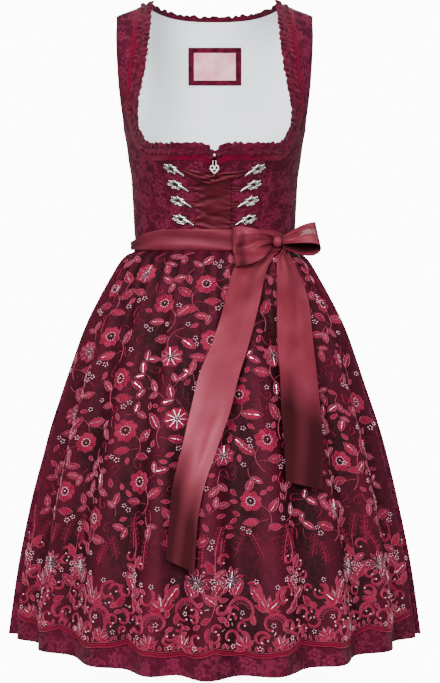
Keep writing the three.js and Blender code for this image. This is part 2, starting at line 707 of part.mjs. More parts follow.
/** How far the apron's edge lies below the waist seam: large scallops, each with three small ones. */
function apronDrop(angle) {
  const place = (angle / APRON_HALF_ANGLE) * (SCALLOPS / 2);
  const large = Math.abs(Math.sin(Math.PI * place));
  const small = Math.abs(Math.sin(3 * Math.PI * place));
  return APRON_EDGE_DROP - SCALLOP_DEPTH * (1 - large) - 2.5 * (1 - small);
}
function apronPlaces() {
  const columns = 2 * APRON_COLUMNS;
  const middle = SKIRT_ROWS.slice(1, -1).reverse();
  return [null, ...middle, skirtRow(APRON_TOP_DROP)].map((row) =>
    counted(columns).map((i) => {
      const angle = mix(-APRON_HALF_ANGLE, APRON_HALF_ANGLE, i / columns);
      return [angle, row ?? skirtRow(apronDrop(angle))];
    }),
  );
}
addMesh("apron", clothOn(apron, apronPlaces(), SATIN), "apron");

// ---------------------------------------------------------------- sash: waistband, tie and bow

function sashPlaces(from, to, columns, topAt) {
  return [0, 0.5, 1].map((up) =>
    counted(columns).map((i) => {
      const angle = mix(from, to, i / columns);
      return [angle, mix(WAISTBAND.bottom, topAt(angle), up)];
    }),
  );
}

/** The waistband's upper edge, which falls towards the sides where the ribbon is drawn together. */
function bandTop(angle) {
  const narrowing = smoothstep(WAISTBAND.fullAngle, WAISTBAND.halfAngle, Math.abs(angle));
  return mix(WAISTBAND.top, WAISTBAND.narrowTop, narrowing);
}
const waistbandPlaces = sashPlaces(-WAISTBAND.halfAngle, WAISTBAND.halfAngle, 26, bandTop);
addMesh("apron_waistband", clothOn(sash, waistbandPlaces, WAISTBAND.thickness), "satin");
const tieFrom = WAISTBAND.halfAngle + 0.15;
addMesh(
  "sash_tie_back",
  clothOn(sash, sashPlaces(tieFrom, 360 - tieFrom, 26, () => WAISTBAND.narrowTop), WAISTBAND.thickness),
  "satin",
);

// The bow stands on the waistband, on the wearer's left of the centre front.
const knotAngle = degrees(Math.asin(KNOT.x / (TORSO[0].half + WAISTBAND.lift)));
const knotFoot = sash(knotAngle, KNOT.z);
const knotNormal = normalOf(sash, knotAngle, KNOT.z);
const knotCentre = knotFoot.clone().addScaledVector(knotNormal, KNOT.depth + SEAM_GAP);

/** How far the apron's highest folds stand out from the waistband's face at a height. */
function overWaistband(z) {
  const drop = Math.max(0, WAIST_SEAM_Z - z);
  const column = (name) => along(SKIRT, "drop", name, drop);
  const apronFace = column("front") + 1.3 * column("fold") + APRON_LIFT + 2 * column("apron");
  return Math.max(0, apronFace - SKIRT[0].front - WAISTBAND.lift);
}

/** How far along and how far open a loop is, for a share of the way round its ribbon. */
function loopTurn(share) {
  const turn = 2 * Math.PI * mix(LOOP.start, 1 - LOOP.start, share);
  const reach = (1 - Math.cos(turn)) / 2;
  return { reach, open: Math.sin(turn), spread: Math.sin((Math.PI / 2) * reach) ** 0.9 };
}
const LOOP = { around: 18, across: 4, start: 0.08, drawn: 15, pleat: 1.1 };

/** The soft pleats where a loop is gathered into the knot. */
const loopPleat = (side, reach) => LOOP.pleat * Math.cos(4 * Math.PI * side) * (1 - reach) ** 2;

// This loop lies against the waistband and hangs over the apron's gathers.
const RESTING_LOOP = { endX: 29, endZ: -398.5, width: 65, clearance: 3.4, overSashEnd: 5, puff: 15 };
const restingRows = counted(LOOP.around).map((k) => {
  const { reach, open, spread } = loopTurn(k / LOOP.around);
  const x = mix(KNOT.x - KNOT.half + 2.6, RESTING_LOOP.endX, reach);
  const angle = degrees(Math.asin(x / (TORSO[0].half + WAISTBAND.lift)));
  return counted(LOOP.across).map((i) => {
    const side = i / LOOP.across - 0.5;
    const z = mix(KNOT.z, RESTING_LOOP.endZ, reach) + side * mix(LOOP.drawn, RESTING_LOOP.width, spread);
    const settled = smoothstep(0, 0.35, reach);
    const overSashEnd = RESTING_LOOP.overSashEnd * smoothstep(KNOT.z - 8, KNOT.z - 20, z);
    const rest = overWaistband(z) + RESTING_LOOP.clearance;
    const inner = mix(KNOT.depth - 2, rest, settled) + overSashEnd;
    const thickness = 4 + RESTING_LOOP.puff * Math.abs(open) * reach ** 0.7;
    const lift = inner + thickness * (0.5 + 0.5 * Math.sign(open) * Math.abs(open) ** 0.6);
    return sash(angle, z).addScaledVector(normalOf(sash, angle, z), lift + loopPleat(side, reach));
  });
});
addMesh("bow_loop_right", ribbon(restingRows, SATIN), "satin");

// This loop stands out at the side, turned so that its lower opening looks forwards.
const FREE_LOOP = { outward: [0.95, 0.08, 0.12], tilt: 36, length: 68, puff: 17, width: 62 };
function freeLoopRows() {
  const out = new THREE.Vector3(...FREE_LOOP.outward).normalize();
  const front = new THREE.Vector3(0, -1, 0);
  const up = front.clone().cross(out).normalize();
  const lie = up.multiplyScalar(Math.cos(radians(FREE_LOOP.tilt)));
  lie.addScaledVector(front, -Math.sin(radians(FREE_LOOP.tilt)));
  const face = lie.clone().cross(out).normalize();
  return counted(LOOP.around).map((k) => {
    const { reach, open, spread } = loopTurn(k / LOOP.around);
    return counted(LOOP.across).map((i) => {
      const side = 0.5 - i / LOOP.across;
      return knotCentre
        .clone()
        .addScaledVector(out, KNOT.half - 3.9 + FREE_LOOP.length * reach)
        .addScaledVector(face, -FREE_LOOP.puff * open * (0.35 + 0.65 * reach) + loopPleat(side, reach))
        .addScaledVector(lie, side * mix(LOOP.drawn, FREE_LOOP.width, spread));
    });
  });
}
addMesh("bow_loop_left", ribbon(freeLoopRows(), SATIN), "satin");

const knot = new THREE.SphereGeometry(1, 14, 10);
knot.scale(KNOT.half, KNOT.depth, KNOT.height);
knot.rotateZ(radians(knotAngle));
addMesh("bow_knot", knot, "satin").position.copy(knotCentre);

/** A sash end, laid over the highest folds of the apron. */
function sashEnd(table) {
  const columns = 4;
  const drops = rowsBetween(0, 1, 11).map((share) => mix(table[0].drop, table.at(-1).drop, share ** 1.25));
  const place = (drop, side) => {
    const [x, width] = ["x", "width"].map((column) => along(table, "drop", column, drop));
    const cut = TAIL_SLANT * 2 * side * smoothstep(0.75, 1, drop / table.at(-1).drop);
    const row = skirtRow(drop + cut);
    const across = x + side * width;
    const angle = degrees(Math.asin(clamp(across / along(SKIRT, "row", "half", row), -1, 1)));
    const lift = along(SKIRT, "row", "fold", row) * 1.3 + APRON_LIFT + 2 * along(SKIRT, "row", "apron", row);
    const atKnot = TAIL_AT_KNOT * (1 - smoothstep(0, 17, drop));
    return skirtRing(angle, row, lift + TAIL_CLEARANCE + SATIN + atKnot);
  };
  const rows = drops.map((drop) => counted(columns).map((i) => place(drop, i / columns - 0.5)));
  return ribbon(rows.reverse(), SATIN);
}
addMesh("sash_end_right", sashEnd(TAIL_RIGHT), "satin");
addMesh("sash_end_left", sashEnd(TAIL_LEFT), "satin");

// ---------------------------------------------------------------- hooks

const HOOK = {
  length: 27,
  height: 15,
  lobes: 7,
  points: 21, // of its outline
  hole: 1.7,
  prong: 25, // from the hole to its tip
  thickness: 2.6,
  prongThickness: 1,
  tilt: 15,
};

/** The outline of a hook's plate: a lobed leaf with a hole in its middle. */
function plateShape() {
  const shape = new THREE.Shape(
    counted(HOOK.points - 1).map((i) => {
      const turn = (2 * Math.PI * i) / HOOK.points;
      const lobe = 1 + 0.12 * Math.cos(HOOK.lobes * turn);
      return new THREE.Vector2(
        (HOOK.length / 2) * lobe * Math.cos(turn),
        (HOOK.height / 2) * lobe * Math.sin(turn),
      );
    }),
  );
  shape.holes.push(new THREE.Path().absarc(0, 0, HOOK.hole, 0, 2 * Math.PI, true));
  return shape;
}

/** The prong: a tapered finger that the ribbon is led round. */
function prongShape() {
  const shape = new THREE.Shape();
  shape.moveTo(8, 3.4);
  shape.quadraticCurveTo(16, 1.5, HOOK.prong, -0.6);
  shape.quadraticCurveTo(HOOK.prong + 1.8, -2.2, HOOK.prong - 0.6, -2.6);
  shape.quadraticCurveTo(15, -1.8, 8, -2.6);
  return shape;
}

function extruded(shape, depth, lift, curveSegments = 3) {
  const geometry = new THREE.ExtrudeGeometry(shape, { depth, bevelEnabled: false, curveSegments });
  return geometry.translate(0, 0, lift);
}

const hookSolid = solidOf(extruded(plateShape(), HOOK.thickness, 0)).add(
  solidOf(extruded(prongShape(), HOOK.prongThickness, HOOK.thickness - HOOK.prongThickness)),
);

/** A frame on the bodice: x towards the centre front, z out of the cloth. */
function frameAt(x, z, lift, turn) {
  const [angle, row] = torsoPlace(x, z);
  const outward = normalOf(torso, angle, row);
  const level = new THREE.Vector3(-Math.sign(x || 1), 0, 0);
  level.addScaledVector(outward, -level.dot(outward)).normalize();
  const frame = new THREE.Matrix4().makeBasis(level, outward.clone().cross(level), outward);
  frame.multiply(new THREE.Matrix4().makeRotationZ(turn));
  frame.setPosition(torso(angle, row).addScaledVector(outward, lift));
  return frame;
}
HOOK_ROWS.forEach(({ z, x }, i) => {
  for (const side of [-1, 1]) {
    const solid = side < 0 ? hookSolid : hookSolid.mirror([0, 1, 0]);
    const geometry = geometryOf(solid);
    geometry.applyMatrix4(frameAt(side * x, z, 0.4, side * radians(HOOK.tilt)));
    addMesh(`hook_${i + 1}_${side < 0 ? "right" : "left"}`, geometry, "silver");
  }
});

// ---------------------------------------------------------------- lacing

const LACE = { ends: 7, middle: 12, reach: 19, drop: 6, lift: 1.6, segments: 10 };

/** A ribbon on the front between two places, whose lift may change along it. */
function frontRibbon(from, to, width, liftAt, sag = () => 0) {
  const layer = (out) =>
    [-1, 0, 1].map((side) =>
      counted(LACE.segments).map((i) => {
        const share = i / LACE.segments;
        const x = mix(from.x, to.x, share);
        const z = mix(from.z, to.z, share) - sag(share) + (side * width(share)) / 2;
        const place = torsoPlace(x, z);
        return torso(...place).addScaledVector(normalOf(torso, ...place), liftAt(share, side) + out);
      }),
    );
  return wallGeometry(layer(0), layer(-LACE_THICKNESS));
}

/** The two ends of a run between a pair of hooks, where their prongs hold it. */
function runEnds({ x, z }, drop) {
  return [-1, 1].map((side) => ({ x: side * (x - LACE.reach), z: z - drop }));
}
const bulge = (share) => Math.sin(Math.PI * share);

// The lower runs cross straight from hook to hook, behind the ribbon's loose loop.
HOOK_ROWS.slice(1).forEach((pair, i) => {
  const width = (share) => mix(LACE.ends, LACE.middle, bulge(share) ** 0.5);
  addMesh(`lacing_${i + 2}`, frontRibbon(...runEnds(pair, LACE.drop), width, () => LACE.lift), "satin");
});

// The top run droops between the first pair of hooks, and the loose loop hangs in front of the rest.
const TOP_RUN = { ends: 8, middle: 16, droop: 12, lift: 4.9 };
addMesh(
  "lacing_top",
  frontRibbon(
    ...runEnds(HOOK_ROWS[0], 4),
    (share) => mix(TOP_RUN.ends, TOP_RUN.middle, bulge(share)),
    (share) => mix(LACE.lift, TOP_RUN.lift, smoothstep(0, 0.17, Math.min(share, 1 - share))),
    (share) => TOP_RUN.droop * bulge(share) ** 1.2,
  ),
  "satin",
);
const HANGING = { left: -31.5, right: 26, top: -287, bottom: -379, lift: 3.3 };
addMesh(
  "lacing_hanging",
  frontRibbon(
    { x: HANGING.left, z: (HANGING.top + HANGING.bottom) / 2 },
    { x: HANGING.right, z: (HANGING.top + HANGING.bottom) / 2 },
    () => HANGING.top - HANGING.bottom,
    () => HANGING.lift,
  ),
  "satin",
);

// ---------------------------------------------------------------- zip

const ZIP = { halfTape: 10, top: -251, bottom: -399, sliderZ: -258 };
addMesh(
  "zip_tape",
  clothOn(
    torso,
    rowsBetween(ZIP.bottom, ZIP.top, 8).map((z) =>
      [-1, -0.3, 0.3, 1].map((side) => torsoPlace(side * ZIP.halfTape, z)),
    ),
    1,
    -CLOTH - 0.9,
  ),
  "zip",
);

const sliderPlace = torsoPlace(0, ZIP.sliderZ);
const sliderFoot = torso(...sliderPlace); // on the bodice's face
const sliderOut = normalOf(torso, ...sliderPlace);

/** A box by its middle and its size. */
const box = (x, y, z, width, depth, height) =>
  solidOf(new THREE.BoxGeometry(width, depth, height).translate(x, y, z));

// Distances in front of the bodice's face. The pull's bar turns in the slider's bridge.
const SLIDER = {
  bodyBack: 0.5,
  bodyFront: 2.9,
  bridgeInner: 5.0,
  bridgeOuter: 6.0,
  width: 7,
  height: 8.5,
  sunk: 0.85, // into the opening between the front edges
};
const BAR = { out: 3.95, radius: 0.75, halfLength: 3.2 };
function sliderSolid() {
  const bodyMiddle = (SLIDER.bodyBack + SLIDER.bodyFront) / 2;
  const body = box(0, -bodyMiddle, 0, SLIDER.width, SLIDER.bodyFront - SLIDER.bodyBack, SLIDER.height);
  const bridgeMiddle = (SLIDER.bridgeInner + SLIDER.bridgeOuter) / 2;
  const bridge = box(0, -bridgeMiddle, 0, 2.4, SLIDER.bridgeOuter - SLIDER.bridgeInner, 6);
  const footDepth = SLIDER.bridgeOuter - SLIDER.bodyFront + 0.4;
  const footMiddle = SLIDER.bridgeOuter - footDepth / 2;
  const feet = [-1, 1].map((end) => box(0, -footMiddle, end * 2.5, 2.4, footDepth, 1));
  return body.add(bridge).add(feet[0]).add(feet[1]);
}
const slider = addMesh("zip_slider", geometryOf(sliderSolid()), "silver");
slider.quaternion.setFromUnitVectors(new THREE.Vector3(0, -1, 0), sliderOut);
slider.position.copy(sliderFoot).addScaledVector(sliderOut, -SLIDER.sunk);

/** A heart with three round openings, hung by two arms from its bar. */
const HEART = { width: 15.5, height: 15, top: -6.5, thickness: 1.7, hole: 2.1 };
function heartShape() {
  const [w, top, bottom] = [HEART.width / 2, HEART.top, HEART.top - HEART.height];
  const shape = new THREE.Shape();
  shape.moveTo(0, bottom);
  shape.bezierCurveTo(w * 0.55, bottom + 4, w, bottom + 6.5, w, top - 4.6);
  shape.bezierCurveTo(w, top + 0.9, w * 0.25, top + 1.2, 0, top - 2.2);
  shape.bezierCurveTo(-w * 0.25, top + 1.2, -w, top + 0.9, -w, top - 4.6);
  shape.bezierCurveTo(-w, bottom + 6.5, -w * 0.55, bottom + 4, 0, bottom);
  const holes = [
    [-w * 0.46, top - 4.6],
    [w * 0.46, top - 4.6],
    [0, top - 9.2],
  ];
  for (const [x, z] of holes) shape.holes.push(new THREE.Path().absarc(x, z, HEART.hole, 0, 2 * Math.PI, true));
  return shape;
}
function pullSolid() {
  // The outline's plane is turned upright, so that its face looks forwards.
  const heart = extruded(heartShape(), HEART.thickness, -HEART.thickness / 2, 6).rotateX(Math.PI / 2);
  const bar = new THREE.CylinderGeometry(BAR.radius, BAR.radius, 2 * BAR.halfLength, 10).rotateZ(Math.PI / 2);
  const armHeight = -HEART.top + 1.2;
  const arms = [-1, 1].map((side) =>
    box(side * (BAR.halfLength - 0.6), 0, -armHeight / 2, 1.2, 2 * BAR.radius - 0.1, armHeight),
  );
  return solidOf(heart).add(solidOf(bar)).add(arms[0]).add(arms[1]);
}
const pull = addMesh("zip_pull", geometryOf(pullSolid()), "silver");
pull.position.copy(sliderFoot).addScaledVector(sliderOut, BAR.out - SLIDER.sunk);

export default dress;
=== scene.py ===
"""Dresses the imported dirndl: brocade bodice and skirt, embroidered apron, satin sash, laces and silver.

The tables are in millimetres, as a pattern maker would note them, and every mesh is built in metres in
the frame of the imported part: +Z up, the front towards -Y, the wearer's left towards +X. Each cloth is a
thin wall on one of four surfaces: the torso, the skirt, the apron and the sash round the waist. A place
on a surface is an angle round the body, 0 at the centre front, and a row of that surface's table.
"""

from __future__ import annotations

import json
import logging
import math
import random
from dataclasses import dataclass, field
from enum import Enum
from typing import Callable, Sequence

import bpy
import numpy as np
from mathutils import Matrix, Vector

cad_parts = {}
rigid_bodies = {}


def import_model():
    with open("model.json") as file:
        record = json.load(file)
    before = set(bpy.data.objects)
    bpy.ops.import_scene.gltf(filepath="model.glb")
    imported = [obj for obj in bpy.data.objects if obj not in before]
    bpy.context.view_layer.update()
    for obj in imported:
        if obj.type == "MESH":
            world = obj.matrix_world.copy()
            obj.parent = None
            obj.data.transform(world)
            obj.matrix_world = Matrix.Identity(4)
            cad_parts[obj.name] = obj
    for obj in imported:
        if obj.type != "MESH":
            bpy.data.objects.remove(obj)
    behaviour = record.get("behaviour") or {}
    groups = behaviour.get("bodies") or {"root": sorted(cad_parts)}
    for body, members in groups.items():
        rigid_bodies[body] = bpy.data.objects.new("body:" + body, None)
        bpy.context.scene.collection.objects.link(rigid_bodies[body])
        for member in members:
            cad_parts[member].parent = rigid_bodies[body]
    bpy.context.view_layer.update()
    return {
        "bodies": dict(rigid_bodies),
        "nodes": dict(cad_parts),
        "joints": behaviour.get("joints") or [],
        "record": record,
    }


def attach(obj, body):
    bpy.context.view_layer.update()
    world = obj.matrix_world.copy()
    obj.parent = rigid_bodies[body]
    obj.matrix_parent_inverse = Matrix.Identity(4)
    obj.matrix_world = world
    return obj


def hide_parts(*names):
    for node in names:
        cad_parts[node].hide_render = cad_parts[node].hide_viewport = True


MM = 0.001
DRESS = "dress"
LOG = logging.getLogger("dirndl")

Array = np.ndarray
Places = tuple[np.ndarray, np.ndarray]
Bpy = bpy.types.Object
Material = bpy.types.Material

# ---- tables of sections


class Table:
    """Sections of a form, read on a smooth curve that never overshoots."""

    def __init__(self, columns: str, rows: Sequence[Sequence[float]]) -> None:
        """Keeps each column, and the row numbers as a column of their own."""
        self.columns = dict(zip(columns.split(), np.array(rows, float).T))
        self.columns["row"] = np.arange(len(rows), dtype=float)

    def read(self, column: str, at: Array, key: str = "row") -> Array:
        """Reads a column where the key column has the given values.

        Args:
            column: the column to read.
            at: values of the key column.
            key: the column that the values belong to.

        Returns:
            The column's values there, on a monotone cubic.
        """
        x, y = self.columns[key], self.columns[column]
        rise = np.diff(y) / np.diff(x)
        before, after = rise[:-1], rise[1:]
        steady = before * after > 0
        total = np.where(steady, before + after, 1)
        inner = np.where(steady, 2 * before * after / total, 0)
        slope = np.concatenate([rise[:1], inner, rise[-1:]])
        i = np.clip(np.searchsorted(x, at, side="right") - 1, 0, len(x) - 2)
        span = x[i + 1] - x[i]
        t = np.clip((at - x[i]) / span, 0, 1)
        ends = y[i] * (1 + 2 * t) * (1 - t) ** 2 + y[i + 1] * t * t * (3 - 2 * t)
        return ends + span * t * (1 - t) * (slope[i] * (1 - t) - slope[i + 1] * t)

    def first(self, column: str) -> float:
        """A column's value in the first section."""
        return float(self.columns[column][0])

    def last(self, column: str) -> float:
        """A column's value in the last section."""
        return float(self.columns[column][-1])

    def rows(self) -> list[dict[str, float]]:
        """The sections one by one, each with its columns by name."""
        names = list(self.columns)
        return [dict(zip(names, values)) for values in zip(*self.columns.values())]


TORSO = Table("h half front back square", [
    (-399.4, 136.5, 90, 82, 2.05), (-386, 137, 90, 82, 2.05), (-366, 138.5, 92, 83, 2.05),
    (-343, 139.5, 97, 85, 2.05), (-315, 141, 105, 89, 2.08), (-285, 142.5, 116, 94, 2.1),
    (-255, 147, 128, 99, 2.1), (-225, 151, 133, 103, 2.12), (-200, 156, 131, 106, 2.2),
    (-175, 165, 125, 108, 2.35), (-150, 171.5, 116, 109, 2.5), (-120, 176, 103, 108, 2.75),
    (-90, 178.5, 90, 104, 3.0), (-60, 180, 74, 95, 3.3), (-35, 180.5, 57, 80, 3.7),
    (-15, 181, 38, 57, 3.9), (-3, 182.5, 21, 32, 4), (1.5, 183.5, 9, 13, 4), (2.5, 183.5, 0, 0, 4),
])
FRONT_PRINCESS = Table("h x", [
    (-399.4, 76), (-370, 76), (-340, 79), (-310, 84), (-280, 91), (-258, 98), (-239, 107),
])
NECKLINE = Table("h x", [
    (-239, 107), (-231, 116), (-220, 123), (-203, 130), (-185, 134), (-165, 134.5), (-140, 132),
    (-110, 127.5), (-80, 123.5), (-45, 120), (-15, 117), (2.5, 115.5),
])
NECK_BOTTOM = Table("share h", [(0, -247.5), (0.06, -245), (0.15, -240.5), (0.6, -240), (1, -239)])
BACK_PRINCESS = Table("h x", [
    (-399.4, 58), (-340, 61), (-290, 70), (-240, 87), (-200, 108), (-165, 137), (-140, 163.6),
])
ARMHOLE = Table("h front back", [
    (-200, 0, 0), (-194, 0.2, 0.18), (-180, 0.36, 0.33), (-150, 0.48, 0.45), (-110, 0.57, 0.52),
    (-70, 0.63, 0.58), (-30, 0.7, 0.68), (2.5, 0.75, 0.75),
])
SKIRT = Table("drop half front back lens fold gather apron", [
    (0, 136.5, 90, 82, 1, 0, 0.8, 0.3), (6.5, 137.2, 90.6, 83, 1, 0, 1.2, 0.4),
    (14, 151, 101, 95, 1, 0.2, 2, 0.9), (25, 160, 111, 105, 1, 0.6, 3, 1.5),
    (50, 174, 127, 121, 1.03, 1.5, 3.6, 1.8), (94, 198, 150, 146, 1.08, 3, 2.8, 1.5),
    (143, 222, 172, 170, 1.15, 4.5, 1.6, 0.9), (200, 243, 194, 193, 1.25, 6, 0.6, 0.4),
    (260, 263, 213, 213, 1.35, 7.5, 0, 0), (320, 282, 230, 231, 1.45, 8.5, 0, 0),
    (390, 299.5, 248, 249, 1.57, 9.5, 0, 0), (470, 317, 267, 268, 1.68, 10.5, 0, 0),
    (560, 334, 287, 286, 1.78, 11.5, 0, 0), (672, 350, 307, 303, 1.85, 12, 0, 0),
])
TAIL_RIGHT = Table("drop x width", [
    (2.6, 95, 11), (18, 77, 30), (34, 56.5, 52), (92, 42, 53), (150, 26, 56.5), (207, 6.5, 61),
    (260, -6, 60), (310, -20, 54), (389, -41, 46), (432, -46, 42), (497, -50, 42),
])
TAIL_LEFT = Table("drop x width", [
    (2.6, 108, 10), (18, 109.5, 22), (34, 112.5, 31), (92, 121, 50), (140, 123.5, 56), (207, 129, 58),
    (260, 132, 60), (311, 135, 59), (380, 136, 56),
])
HOOK_ROWS = Table("z x", [(-270, 71), (-296, 64.5), (-322.5, 60), (-353, 56.5)])

# Soft creases of the skirt and of the apron over it, as troughs: where, how wide, from which drop to
# which, and how deep. They are uneven, as hung cloth is.
HANGING_CREASES = Table("angle spread top bottom depth", [
    (-61, 3.0, 90, 420, 3.2), (-47, 2.4, 60, 330, 2.6), (-31, 2.8, 130, 560, 3.4),
    (-15, 2.2, 70, 380, 2.8), (6, 2.6, 110, 610, 4.2), (19, 2.0, 60, 350, 2.6), (33, 2.8, 150, 600, 3.6),
    (52, 2.4, 80, 400, 2.8), (67, 2.6, 160, 520, 3.0), (88, 2.6, 120, 560, 2.8), (109, 3.0, 90, 430, 3.0),
    (127, 2.4, 150, 600, 3.4), (146, 2.6, 70, 380, 2.8), (165, 2.8, 130, 620, 3.6),
    (184, 2.2, 80, 360, 2.6), (203, 2.8, 140, 580, 3.4), (226, 2.4, 90, 400, 2.8),
    (247, 3.0, 160, 600, 3.2), (268, 2.6, 100, 440, 2.8),
])

# ---- sizes that several pieces share

SEAM_GAP = 0.3
SEWN = 0.01
CLOTH = 1.4
SATIN_THICKNESS = 1.0
WAIST_SEAM_Z = -399.4
SHOULDER_SLOPE = 0.36
STRAP_MIDDLE_X = 141
UNDERARM_H = -200
FRONT_CORNER_H = -239
BACK_CORNER_H = -140
ZIP_OPENING = 3
RIDGE_ROW = 18 - 0.006
LINING_BELOW_RIDGE = 0.6
LINING_GAP = 0.6
LOWEST_STITCH = 671
HEM_STITCH_DROP = 652.0
SCALLOP_FOOT = 640.0
FOLDS = 20
GATHERS = 40
APRON_HALF_ANGLE = 72
APRON_LIFT = 4.2
APRON_TOP_DROP = 1.2
APRON_EDGE_DROP = 643
SCALLOPS = 6
SCALLOP_DEPTH = 11

# ---- small maths


def mix(a: Array, b: Array, share: Array) -> Array:
    """The value a share of the way from a to b."""
    return a + (b - a) * share


def smooth(low: float, high: float, value: Array) -> Array:
    """A smooth step from 0 at low to 1 at high."""
    share = np.clip((value - low) / (high - low), 0, 1)
    return share * share * (3 - 2 * share)


def signed_power(base: Array, power: Array) -> Array:
    """A power that keeps its base's sign."""
    return np.sign(base) * np.abs(base) ** power


def unit(vectors: Array) -> Array:
    """Vectors of length one."""
    return vectors / np.maximum(np.linalg.norm(vectors, axis=-1, keepdims=True), 1e-12)


def solve(rising: Callable[[Array], Array], target: Array, low: Array, high: Array) -> Array:
    """Where a rising function reaches its target, by halving.

    Args:
        rising: the function.
        target: the value that it should reach.
        low: the range's lower end.
        high: the range's upper end.

    Returns:
        The places, as an array of the target's shape.
    """
    low, high, target = np.broadcast_arrays(low, high, target)
    low, high = low.astype(float), high.astype(float)
    for _ in range(40):
        middle = (low + high) / 2
        short = rising(middle) < target
        low, high = np.where(short, middle, low), np.where(short, high, middle)
    return (low + high) / 2


def arc_lengths(points: Array, axis: int) -> Array:
    """Distances along a grid of points, from its first row or column."""
    steps = np.linalg.norm(np.diff(points, axis=axis), axis=-1)
    pad = [(0, 0), (0, 0)]
    pad[axis] = (1, 0)
    return np.cumsum(np.pad(steps, pad), axis=axis)


# ---- surfaces


class Surface:
    """A form on which cloth lies, with a place for every angle and row."""

    rows_rise = True

    def point(self, angle: Array, row: Array) -> Array:
        """The surface's points, in millimetres."""
        raise NotImplementedError

    def normal(self, angle: Array, row: Array) -> Array:
        """The surface's outward normals."""
        step = 0.02
        across = self.point(angle + step, row) - self.point(angle - step, row)
        upwards = self.point(angle, row + step) - self.point(angle, row - step)
        normal = unit(np.cross(across, upwards))
        return normal if self.rows_rise else -normal

    def lifted(self, angle: Array, row: Array, lift: Array) -> Array:
        """Points at a distance from the surface, along its normals."""
        lift = np.broadcast_to(lift, np.shape(angle))
        return self.point(angle, row) + self.normal(angle, row) * lift[..., None]


class Torso(Surface):
    """The bodice's form, with a low swell where the princess seams shape the bust."""

    def point(self, angle: Array, row: Array) -> Array:
        """The torso's points, in millimetres."""
        sine, cosine = np.sin(np.radians(angle)), np.cos(np.radians(angle))
        power = 2 / TORSO.read("square", row)
        h = TORSO.read("h", row)
        x = TORSO.read("half", row) * signed_power(sine, power)
        depth = np.where(cosine > 0, TORSO.read("front", row), TORSO.read("back", row))
        swell = 7 * np.exp(-(((np.abs(x) - 72) / 36) ** 2) - ((h + 232) / 42) ** 2)
        y = -depth * signed_power(cosine, power) - np.where(cosine > 0, swell, 0)
        slope = SHOULDER_SLOPE * smooth(-120, -20, h)
        return np.stack([x, y, h - slope * (np.abs(x) - STRAP_MIDDLE_X)], axis=-1)

    def front_angle(self, x: Array, row: Array) -> Array:
        """The angle at a distance from the middle, in front."""
        half, square = TORSO.read("half", row), TORSO.read("square", row)
        share = np.clip(np.abs(x) / half, 0, 1)
        return np.sign(x) * np.degrees(np.arcsin(share ** (square / 2)))

    def armhole_angle(self, row: Array, side: str) -> Array:
        """The angle where the armhole is cut on the wearer's left, "front" or "back"."""
        share = ARMHOLE.read(side, TORSO.read("h", row), "h")
        from_middle = np.degrees(np.arccos(share ** (TORSO.read("square", row) / 2)))
        return from_middle if side == "front" else 180 - from_middle

    def place(self, x: Array, z: Array, behind: bool = False) -> Places:
        """The angle and row of a place seen from the front, or from behind."""
        x, z = np.broadcast_arrays(np.asarray(x, float), np.asarray(z, float))

        def angle(row: Array) -> Array:
            """The place's angle at a row."""
            front = self.front_angle(x, row)
            return 180 - front if behind else front

        row = solve(lambda r: self.point(angle(r), r)[..., 2], z, 0, RIDGE_ROW)
        return angle(row), row

    def moved(self, angle: Array, row: Array, distance: float) -> Array:
        """An angle moved round the torso by a distance."""
        step = 0.05
        reach = self.point(angle + step, row) - self.point(angle - step, row)
        speed = np.linalg.norm(reach, axis=-1) / (2 * step)
        return angle + distance / np.maximum(speed, 0.2)


def uneven(angle: Array) -> Array:
    """The irregular angle, in radians, that sets folds and gathers unevenly."""
    wobble = 0.03 * np.sin(np.radians(3 * angle + 40)) + 0.018 * np.sin(np.radians(7 * angle + 110))
    return np.radians(angle) + wobble


class Skirt(Surface):
    """The skirt's flare with its folds and creases, gathered where the apron leaves it bare."""

    rows_rise = False

    def ring(self, angle: Array, row: Array, out: Array) -> Array:
        """The smooth flare, moved out by a distance."""
        sine, cosine = np.sin(np.radians(angle)), np.cos(np.radians(angle))
        half = SKIRT.read("half", row)
        depth = np.where(cosine > 0, SKIRT.read("front", row), SKIRT.read("back", row))
        outward = unit(np.stack(np.broadcast_arrays(sine / half, -cosine / depth), axis=-1))
        x = half * sine + out * outward[..., 0]
        y = -depth * signed_power(cosine, SKIRT.read("lens", row)) + out * outward[..., 1]
        z = WAIST_SEAM_Z - SEAM_GAP - SKIRT.read("drop", row)
        return np.stack(np.broadcast_arrays(x, y, z), axis=-1)

    def folds(self, angle: Array, row: Array) -> Array:
        """How far the folds stand out, less the depth of the creases."""
        size = 1 + 0.22 * np.sin(np.radians(2 * angle + 60)) + 0.16 * np.cos(np.radians(7 * angle))
        height = SKIRT.read("fold", row) * size * np.cos(FOLDS * uneven(angle))
        drop = SKIRT.read("drop", row)
        for crease in HANGING_CREASES.rows():
            away = (angle - crease["angle"] + 180) % 360 - 180
            away = away + 1.2 * np.sin(drop / 90 + crease["row"])
            ramp = 0.3 * (crease["bottom"] - crease["top"])
            there = smooth(crease["top"], crease["top"] + ramp, drop)
            there = there * (1 - smooth(crease["bottom"] - ramp, crease["bottom"], drop))
            height = height - crease["depth"] * there * np.exp(-((away / crease["spread"]) ** 2))
        return height

    def point(self, angle: Array, row: Array) -> Array:
        """The skirt's outer face, in millimetres."""
        from_front = np.abs((angle + 180) % 360 - 180)
        bare = smooth(APRON_HALF_ANGLE - 6, APRON_HALF_ANGLE + 2, from_front)
        gather = SKIRT.read("gather", row) * np.cos(GATHERS * uneven(angle))
        fine = 0.22 * SKIRT.read("gather", row) * np.cos(2.35 * GATHERS * uneven(angle) + 1)
        return self.ring(angle, row, self.folds(angle, row) + bare * (gather + fine))


